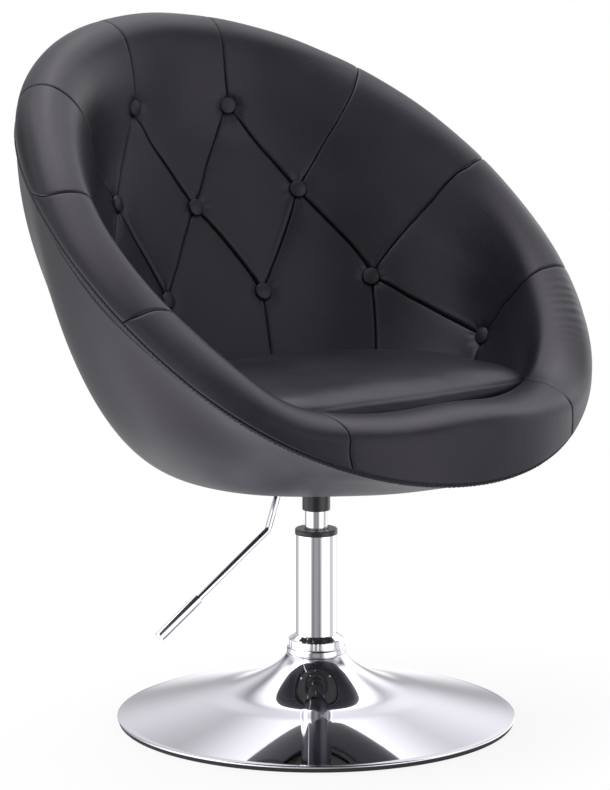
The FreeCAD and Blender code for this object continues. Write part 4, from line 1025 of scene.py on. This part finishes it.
class TUBCHAIR_OT_cover(bpy.types.Operator):
    """Make the outer cover of the bowl and its top-stitching"""
    bl_idname = "tubchair.cover"
    bl_label = "Outer cover"

    def execute(self, context):
        settings = context.scene.tub_cover
        lining = context.scene.tub_lining
        self.skin(settings, lining)
        self.border(settings, lining)
        thread = sewing_thread(tuple(context.scene.tub_finish.thread))
        self.stitches("seam_stitching", settings.seam_stitch_drop, settings, thread)
        self.stitches("top_stitching", settings.stitch_drop, settings, thread)
        return {"FINISHED"}

    def drop_share(self, degrees, drop):
        """Height on the bowl's face a distance below the outer seam."""
        step = 0.015
        seam = bowl_point(degrees, np.ones_like(degrees))
        below = bowl_point(degrees, np.full_like(degrees, 1 - step))
        return 1 - step * drop / np.linalg.norm(below - seam, axis=-1)

    def skin(self, settings, lining):
        """Bowl's face under the border, with soft drag folds and a sewn joint down the back."""
        columns, rows, crowding, opening = 420, 90, 1.3, 0.02
        turns = np.linspace(0, 360, columns + 1)[:-1]
        top = self.drop_share(turns, settings.border_width - settings.border_lap)
        share = 1 - (1 - np.linspace(0, 1, rows)) ** crowding
        height = opening + (top[:, None] - opening) * share[None]
        degrees = np.broadcast_to(turns[:, None], height.shape)
        base = bowl_point(degrees, height)
        back = np.radians(np.abs(degrees - 180)) * np.linalg.norm(base[..., :2], axis=-1)
        lift = settings.waviness * unevenness(base, *SKIN_WAVE) + self.drag_folds(degrees, height)
        lift -= lining.seam_depth * seam_groove(back, BACK_SEAM_WIDTH)
        points = base + face_normal(bowl_point, degrees, height) * lift[..., None]
        piece = grid_piece("outer_skin", points, scene_leather(), wrap_rows=True)
        finished(backed(piece, lining.leather_thickness), "outer_cover")

    def drag_folds(self, degrees, height):
        """Long soft folds that run slantwise down from the seam: bell-shaped ridges along bent lines."""
        off, below = (degrees + 180) % 360 - 180, 1 - height
        fade = smooth_step(*FOLD_RISE, below) * (1 - smooth_step(*FOLD_FADE, below))
        spread_out = 1 + FOLD_SPREAD * below
        total = np.zeros_like(height)
        for start, slant, half_width, size in DRAG_FOLDS:
            total += size * MM * fade * bell(off, start + slant * below, half_width * spread_out)
        return total

    def border(self, settings, lining):
        """Narrow sewn border under the outer seam: a low swell, puckered at its stitches."""
        columns, rows = 1320, 21
        turns = np.linspace(0, 360, columns + 1)[:-1]
        drops = np.linspace(0.0, settings.border_width, rows)
        height = np.stack([self.drop_share(turns, drop) for drop in drops], 1)[:, ::-1]
        below = np.broadcast_to(drops[::-1], height.shape)
        degrees = np.broadcast_to(turns[:, None], height.shape)
        base = bowl_point(degrees, height)
        run = np.linalg.norm(np.roll(base[:, -1], -1, 0) - base[:, -1], axis=1)
        along = np.cumsum(run)[:, None]
        inside = np.sin(np.pi * np.clip(below / settings.stitch_drop, 0, 1))
        seed, wavelength, drift = PUCKER_DRIFT
        pucker = np.sin(2 * np.pi * along / settings.pucker_length
                        + drift * unevenness(base, seed, wavelength))
        width, tuck = settings.border_width, BORDER_TUCK_WIDTH
        lift = BORDER_LIFT + settings.border_swell * inside + settings.pucker_height * pucker * inside
        lift -= STITCH_SINK * bell(below, settings.stitch_drop, STITCH_SINK_REACH)
        lift -= BORDER_TUCK * smooth_step(width - tuck, width, below)
        seam = seam_groove(below, OUTER_GROOVE * lining.seam_width)
        lift *= 1 - seam
        points = base + face_normal(bowl_point, degrees, height) * lift[..., None]
        points += seam_pull(degrees) * (lining.seam_depth * OUTER_PULL * seam)[..., None]
        piece = grid_piece("border_strip", points, scene_leather(), wrap_rows=True)
        finished(backed(piece, BORDER_THICKNESS))

    def stitches(self, name, below, settings, thread):
        """Row of short thread capsules along the seam.

        Each is a tube round an arched line: its middle, plus a share of its half length along the seam,
        less the square of that share inwards, plus the thread's radius round the line, which narrows
        to a point at both ends."""
        turns = np.linspace(0, 360, 1441)
        height = self.drop_share(turns, below)
        line = bowl_point(turns, height)
        length = np.r_[0, np.cumsum(np.linalg.norm(np.diff(line, axis=0), axis=1))]
        count = int(length[-1] / settings.stitch_pitch)
        middles = np.interp((np.arange(count) + 0.5) / count * length[-1], length, turns)
        heights = np.interp(middles, turns, height)
        step = 0.2
        along = unit(bowl_point(middles + step, heights) - bowl_point(middles - step, heights))
        normal = face_normal(bowl_point, middles, heights)
        centre = bowl_point(middles, heights) + STITCH_LIFT * normal
        side = np.cross(normal, along)
        share, thickness = np.array(STITCH_PROFILE).T
        radius = thickness * THREAD_RADIUS
        around = circle(6)[:, None]
        ring = np.cos(around) * side[:, None, None] + np.sin(around) * normal[:, None, None]
        spine = centre[:, None] + along[:, None] * (share * settings.stitch_length / 2)[None, :, None]
        spine -= normal[:, None] * (STITCH_ARCH * share ** 2)[None, :, None]
        points = spine[:, :, None] + ring * radius[None, :, None, None]
        faces = grid_faces(len(share), len(around), False, True)
        offsets = np.arange(count)[:, None, None] * len(share) * len(around)
        faces = (faces[None] + offsets).reshape(-1, 4)
        piece = mesh_piece(name, points.reshape(-1, 3), faces, thread)
        finished(merged(piece))


class TUBCHAIR_OT_cushion(bpy.types.Operator):
    """Make the loose seat cushion and fill it"""
    bl_idname = "tubchair.cushion"
    bl_label = "Seat cushion"

    def execute(self, context):
        settings = context.scene.tub_cushion
        piece = self.cloth_form(settings)
        self.fill(context.scene, piece, settings)
        calm = piece.modifiers.new("calm", "SMOOTH")
        calm.iterations = CALMING
        smoothing = piece.modifiers.new("smooth", "SUBSURF")
        smoothing.levels = smoothing.render_levels = 1
        self.apply_modifiers(piece)
        self.settle(piece, settings, context.scene.tub_lining)
        self.sew(piece, settings)
        finished(piece, "seat_cushion")
        return {"FINISHED"}

    def cloth_form(self, settings):
        """Even skin over the cushion's space, drawn in along its normals by what the filling gives back."""
        mesh = frame["nodes"]["seat_cushion"].data.copy()
        piece = bpy.data.objects.new("seat_cushion_cover", mesh)
        mesh.materials.clear()
        mesh.materials.append(scene_leather())
        bpy.context.scene.collection.objects.link(piece)
        remesh = piece.modifiers.new("grain", "REMESH")
        remesh.mode = "VOXEL"
        remesh.voxel_size = settings.voxel
        remesh.use_smooth_shade = True
        self.apply_modifiers(piece)
        points, normals = self.skin(piece)
        self.move(piece, points - normals * settings.slack)
        return piece

    def skin(self, piece):
        """Positions and normals of a piece's points."""
        count = len(piece.data.vertices)
        points, normals = np.empty(count * 3), np.empty(count * 3)
        piece.data.vertices.foreach_get("co", points)
        piece.data.vertices.foreach_get("normal", normals)
        return points.reshape(-1, 3), normals.reshape(-1, 3)

    def move(self, piece, points):
        """Puts a piece's points at new places."""
        piece.data.vertices.foreach_set("co", points.ravel())
        piece.data.update()

    def apply_modifiers(self, piece):
        """Bakes a piece's modifiers into its mesh."""
        graph = bpy.context.evaluated_depsgraph_get()
        mesh = bpy.data.meshes.new_from_object(piece.evaluated_get(graph), depsgraph=graph)
        piece.modifiers.clear()
        piece.data = mesh

    def fill(self, scene, piece, settings):
        """Blows the cloth up with pressure, and holds each point within the largest swell."""
        start = self.skin(piece)[0]
        cloth = piece.modifiers.new("cloth", "CLOTH").settings
        cloth.use_pressure = True
        cloth.uniform_pressure_force = settings.pressure
        cloth.effector_weights.gravity = 0.0
        cloth.quality = 6
        cloth.tension_stiffness = cloth.compression_stiffness = CLOTH_STRETCH
        cloth.bending_stiffness = CLOTH_BEND
        for number in range(1, settings.frames + 1):
            scene.frame_set(number)
        self.apply_modifiers(piece)
        scene.frame_set(1)
        shift = self.skin(piece)[0] - start
        length = np.linalg.norm(shift, axis=1, keepdims=True)
        self.move(piece, start + shift * np.minimum(1.0, settings.swell / np.maximum(length, 1e-9)))

    def from_middle(self, points):
        """Level offset from the cushion's middle, its length, and its bearing in degrees from the front."""
        gap = points[..., :2] - CUSHION_MIDDLE
        return gap, np.linalg.norm(gap, axis=-1), np.degrees(np.arctan2(gap[..., 0], -gap[..., 1]))

    def settle(self, piece, settings, lining):
        """Lets the front corners out, then holds every point inside the lining, level by level."""
        points, _ = self.skin(piece)
        gap, radius, bearing = self.from_middle(points)
        level = points[:, 2]
        corner = bell(np.abs(bearing), math.degrees(settings.corner_place), CORNER_SPAN)
        side = smooth_step(*CORNER_RADII, radius) * smooth_step(*CORNER_LEVELS, level)
        radius_out = radius + settings.corner_reach * corner * side
        wall = self.wall_radius(bearing, level, lining) - settings.clearance
        share = np.minimum(radius_out, wall) / np.maximum(radius, 1e-6)
        points[:, :2] = CUSHION_MIDDLE + gap * share[:, None]
        self.move(piece, points)

    def wall_radius(self, bearing, level, lining):
        """Distance from the cushion's middle to the lining at each bearing and level.

        The lining's rows give it at set levels, the levels give it at even bearings, and a blend of
        the four nearest entries of that table gives it anywhere."""
        degrees, heights = np.meshgrid(WALL_BEARINGS, WALL_HEIGHTS, indexing="ij")
        face = lining_point(degrees, heights)
        rise = lining_rise(degrees, heights, lining)[..., None]
        face += face_normal(lining_point, degrees, heights) * rise
        _, radii, turns = self.from_middle(face)
        turns = np.unwrap(turns, axis=0, period=360)

        def at_levels(values):
            """Each row's values where the lining crosses the levels, which it meets from the top down."""
            return np.array([np.interp(WALL_LEVELS, fall[::-1], row[::-1])
                             for fall, row in zip(face[..., 2], values)])

        radii, turns = at_levels(radii), at_levels(turns)
        table = np.empty((len(WALL_BEARINGS), len(WALL_LEVELS)))
        for column in range(len(WALL_LEVELS)):
            order = np.argsort(turns[:, column])
            table[:, column] = np.interp(WALL_BEARINGS, turns[order, column], radii[order, column])
        i, a = self.table_place(bearing, WALL_BEARINGS)
        j, b = self.table_place(level, WALL_LEVELS)
        return ((1 - a) * (1 - b) * table[i, j] + a * (1 - b) * table[i + 1, j]
                + (1 - a) * b * table[i, j + 1] + a * b * table[i + 1, j + 1])

    def table_place(self, values, entries):
        """Entry of an even table before each value, and the share of the way to the next one."""
        place = (values - entries[0]) / (entries[1] - entries[0])
        place = np.clip(place, 0, len(entries) - 1.001)
        return place.astype(int), place - place.astype(int)

    def sew(self, piece, settings):
        """Groove of the seam between the cushion's top and its border, sunk along the normals."""
        points, normals = self.skin(piece)
        out = np.linalg.norm((points[:, :2] - CUSHION_MIDDLE) * SEAM_STRETCH, axis=1)
        beside = smooth_step(*SEAM_RADII, out) * bell(points[:, 2], settings.seam_level, SEAM_REACH)
        self.move(piece, points - normals * (settings.seam_depth * beside)[:, None])


class TUBCHAIR_OT_base(bpy.types.Operator):
    """Spin the trumpet disc of the base"""
    bl_idname = "tubchair.base"
    bl_label = "Base disc"

    def execute(self, context):
        """Turns the sheet's closed outline round the column: its top face, rolled rim and underside."""
        radius, height = self.outline().T
        turns = circle(288)[:, None]
        points = np.stack([radius * np.sin(turns), -radius * np.cos(turns), height + 0 * turns], -1)
        plate = chrome("disc_chrome", tuple(context.scene.tub_finish.disc), 0.02)
        piece = grid_piece("spun_disc", points, plate, wrap_rows=True, wrap_columns=True)
        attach(piece, BASE)
        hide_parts("base_disc")
        return {"FINISHED"}

    def outline(self):
        """Radius and height along the section: leans summed up from neck to rim, fitted to both ends."""
        known = np.array(DISC_LEANS)
        step = 0.5                  # millimetres
        averaged, neck = 13, 60     # steps over which a lean is averaged, and steps of the finer neck
        radius = np.arange(known[0, 0], known[-1, 0] + step / 2, step)
        lean = np.interp(radius, known[:, 0], known[:, 1])
        padded = np.pad(lean, averaged // 2, mode="edge")
        lean = np.radians(np.convolve(padded, np.ones(averaged) / averaged, "valid"))
        slope = np.tan(lean)
        fall = np.r_[0, np.cumsum((slope[1:] + slope[:-1]) / 2 * np.diff(radius))]
        fall *= (DISC_TOP_Z - DISC_RIM_Z) / fall[-1]
        keep = np.unique(np.r_[0:neck:2, neck:len(radius):4, len(radius) - 1])
        top = np.stack([radius[keep] * MM, DISC_TOP_Z - fall[keep]], 1)
        inward = np.stack([-np.sin(lean[keep]), -np.cos(lean[keep])], 1)
        under_end = -4              # the underside stops short of the rolled edge by these rings
        under = (top + inward * DISC_SHEET)[:under_end]
        lip = np.array(DISC_LIP) * MM + np.array([DISC_RIM_RADIUS, FLOOR_RING_TOP_Z])
        return np.concatenate([top, lip, under[::-1]])


class TUBCHAIR_OT_hardware(bpy.types.Operator):
    """Finish the column, base, lever and the other carried-over parts"""
    bl_idname = "tubchair.hardware"
    bl_label = "Hardware finishes"

    def execute(self, context):
        materials = slot_materials(context.scene.tub_finish)
        for part in frame["record"]["subparts"]:
            node = frame["nodes"][part["node"]]
            for slot in node.material_slots:
                slot.material = materials[part["material_slot"]]
        return {"FINISHED"}


class TUBCHAIR_OT_stage(bpy.types.Operator):
    """Set the floor, lamps, surroundings and camera"""
    bl_idname = "tubchair.stage"
    bl_label = "Studio"

    def execute(self, context):
        studio = context.scene.tub_studio
        self.floor()
        self.lamp("key", place=(-1.6, 0.4, 3.0), target=(0.0, 0.1, 0.5), size=(2.4, 2.4), power=6)
        self.surroundings(context.scene, studio)
        self.camera(context.scene, studio)
        context.scene.view_settings.view_transform = "Standard"
        return {"FINISHED"}

    def floor(self):
        """Large pale square that takes shadows, and that fades to white for the eye away from the chair."""
        reach, near, far = 30.0, 0.35, 1.3
        whiteness_near, whiteness_far = 0.84, 1.0
        corners = reach * np.array([[-1.0, -1.0, 0.0], [1.0, -1.0, 0.0], [1.0, 1.0, 0.0], [-1.0, 1.0, 0.0]])
        finish = Finish("studio_floor", Base_Color=(0.86, 0.86, 0.87, 1.0), Roughness=0.9,
                        Specular_IOR_Level=0.0)
        length = finish.add("VectorMath", "LENGTH")
        finish.links.new(finish.place, length.inputs[0])
        white = finish.ranged(length.outputs["Value"], near, far, whiteness_near, whiteness_far)
        seen = finish.add("Math", "MULTIPLY")
        finish.links.new(white, seen.inputs[0])
        finish.links.new(finish.add("LightPath").outputs["Is Camera Ray"], seen.inputs[1])
        face = finish.blend(seen.outputs[0], finish.nodes["Principled BSDF"].outputs["BSDF"],
                            finish.add("Emission").outputs["Emission"])
        finish.links.new(face, finish.nodes["Material Output"].inputs["Surface"])
        floor = mesh_piece("studio_floor", corners, np.array([[0, 1, 2, 3]]), finish.material)
        floor.visible_glossy = False

    def lamp(self, name, place, target, size, power):
        """Soft rectangular lamp that looks at a point."""
        light = bpy.data.lights.new(name, "AREA")
        light.shape = "RECTANGLE"
        light.size, light.size_y = size
        light.energy = power
        lamp = bpy.data.objects.new(name, light)
        lamp.location = place
        lamp.rotation_euler = (Vector(target) - Vector(place)).to_track_quat("-Z", "Y").to_euler()
        bpy.context.scene.collection.objects.link(lamp)

    def surroundings(self, scene, studio):
        """White room for the eye; for everything else, soft round panels of light in a dark room.

        A panel's light is a smooth step of the cosine between a direction and the panel's middle."""
        scene.world = bpy.data.worlds.new("studio")
        tree = Tree(scene.world)
        room, white = tree.nodes["Background"], tree.add("Background")
        white.inputs["Color"].default_value = (1.0, 1.0, 1.0, 1.0)
        direction = tree.add("TexCoord").outputs["Generated"]
        edge, core = math.cos(math.radians(PANEL_EDGE)), math.cos(math.radians(PANEL_CORE))
        total = None
        for rise, ring in LIGHT_RINGS:
            for turn, brightness in ring:
                bearing, lift = studio.azimuth + math.radians(turn), math.radians(rise)
                towards = tree.add("VectorMath", "DOT_PRODUCT")
                towards.inputs[1].default_value = (
                    math.sin(bearing) * math.cos(lift), -math.cos(bearing) * math.cos(lift), math.sin(lift))
                tree.links.new(direction, towards.inputs[0])
                panel = tree.ranged(towards.outputs["Value"], edge, core, 0.0, brightness)
                panel.node.interpolation_type = "SMOOTHSTEP"
                if total is not None:
                    both = tree.add("Math", "ADD")
                    tree.links.new(total, both.inputs[0])
                    tree.links.new(panel, both.inputs[1])
                    panel = both.outputs[0]
                total = panel
        room.inputs["Color"].default_value = tuple(studio.light)
        tree.links.new(total, room.inputs["Strength"])
        blend = tree.blend(tree.add("LightPath").outputs["Is Camera Ray"], room.outputs[0], white.outputs[0])
        tree.links.new(blend, tree.nodes["World Output"].inputs["Surface"])

    def camera(self, scene, studio):
        """Camera at its distance and bearing from the column, looking down at the chair."""
        data = bpy.data.cameras.new("camera")
        data.lens = studio.lens
        data.clip_end = 200
        camera = bpy.data.objects.new("camera", data)
        camera.location = (math.sin(studio.azimuth) * studio.distance,
                           -math.cos(studio.azimuth) * studio.distance, studio.height)
        camera.rotation_euler = (math.pi / 2 - studio.pitch, 0.0, studio.azimuth + studio.yaw)
        scene.collection.objects.link(camera)
        scene.camera = camera


class TUBCHAIR_PT_panel(bpy.types.Panel):
    """Sizes, colours and build buttons of the tub chair"""
    bl_label = "Tub Chair"
    bl_idname = "TUBCHAIR_PT_panel"
    bl_space_type = "VIEW_3D"
    bl_region_type = "UI"
    bl_category = "Tub Chair"

    def draw(self, context):
        for key in SETTINGS:
            group = getattr(context.scene, key)
            box = self.layout.box()
            for name in group.__annotations__:
                box.prop(group, name)
        for operator in OPERATORS:
            self.layout.operator(operator.bl_idname)


SETTINGS = {"tub_lining": LiningSettings, "tub_cover": CoverSettings, "tub_cushion": CushionSettings,
            "tub_finish": FinishSettings, "tub_studio": StudioSettings}
OPERATORS = (TUBCHAIR_OT_lining, TUBCHAIR_OT_buttons, TUBCHAIR_OT_cover, TUBCHAIR_OT_cushion,
             TUBCHAIR_OT_base, TUBCHAIR_OT_hardware, TUBCHAIR_OT_stage)


def register():
    """Register the settings, operators and panel."""
    for key, group in SETTINGS.items():
        bpy.utils.register_class(group)
        setattr(bpy.types.Scene, key, PointerProperty(type=group))
    for operator in OPERATORS:
        bpy.utils.register_class(operator)
    bpy.utils.register_class(TUBCHAIR_PT_panel)


def unregister():
    """Take the panel, operators and settings away."""
    bpy.utils.unregister_class(TUBCHAIR_PT_panel)
    for operator in reversed(OPERATORS):
        bpy.utils.unregister_class(operator)
    for key, group in SETTINGS.items():
        delattr(bpy.types.Scene, key)
        bpy.utils.unregister_class(group)


def main():
    """Build every piece in order."""
    register()
    bpy.ops.tubchair.lining()
    bpy.ops.tubchair.buttons()
    bpy.ops.tubchair.cover()
    bpy.ops.tubchair.cushion()
    bpy.ops.tubchair.base()
    bpy.ops.tubchair.hardware()
    bpy.ops.tubchair.stage()


if __name__ == "__main__":
    main()
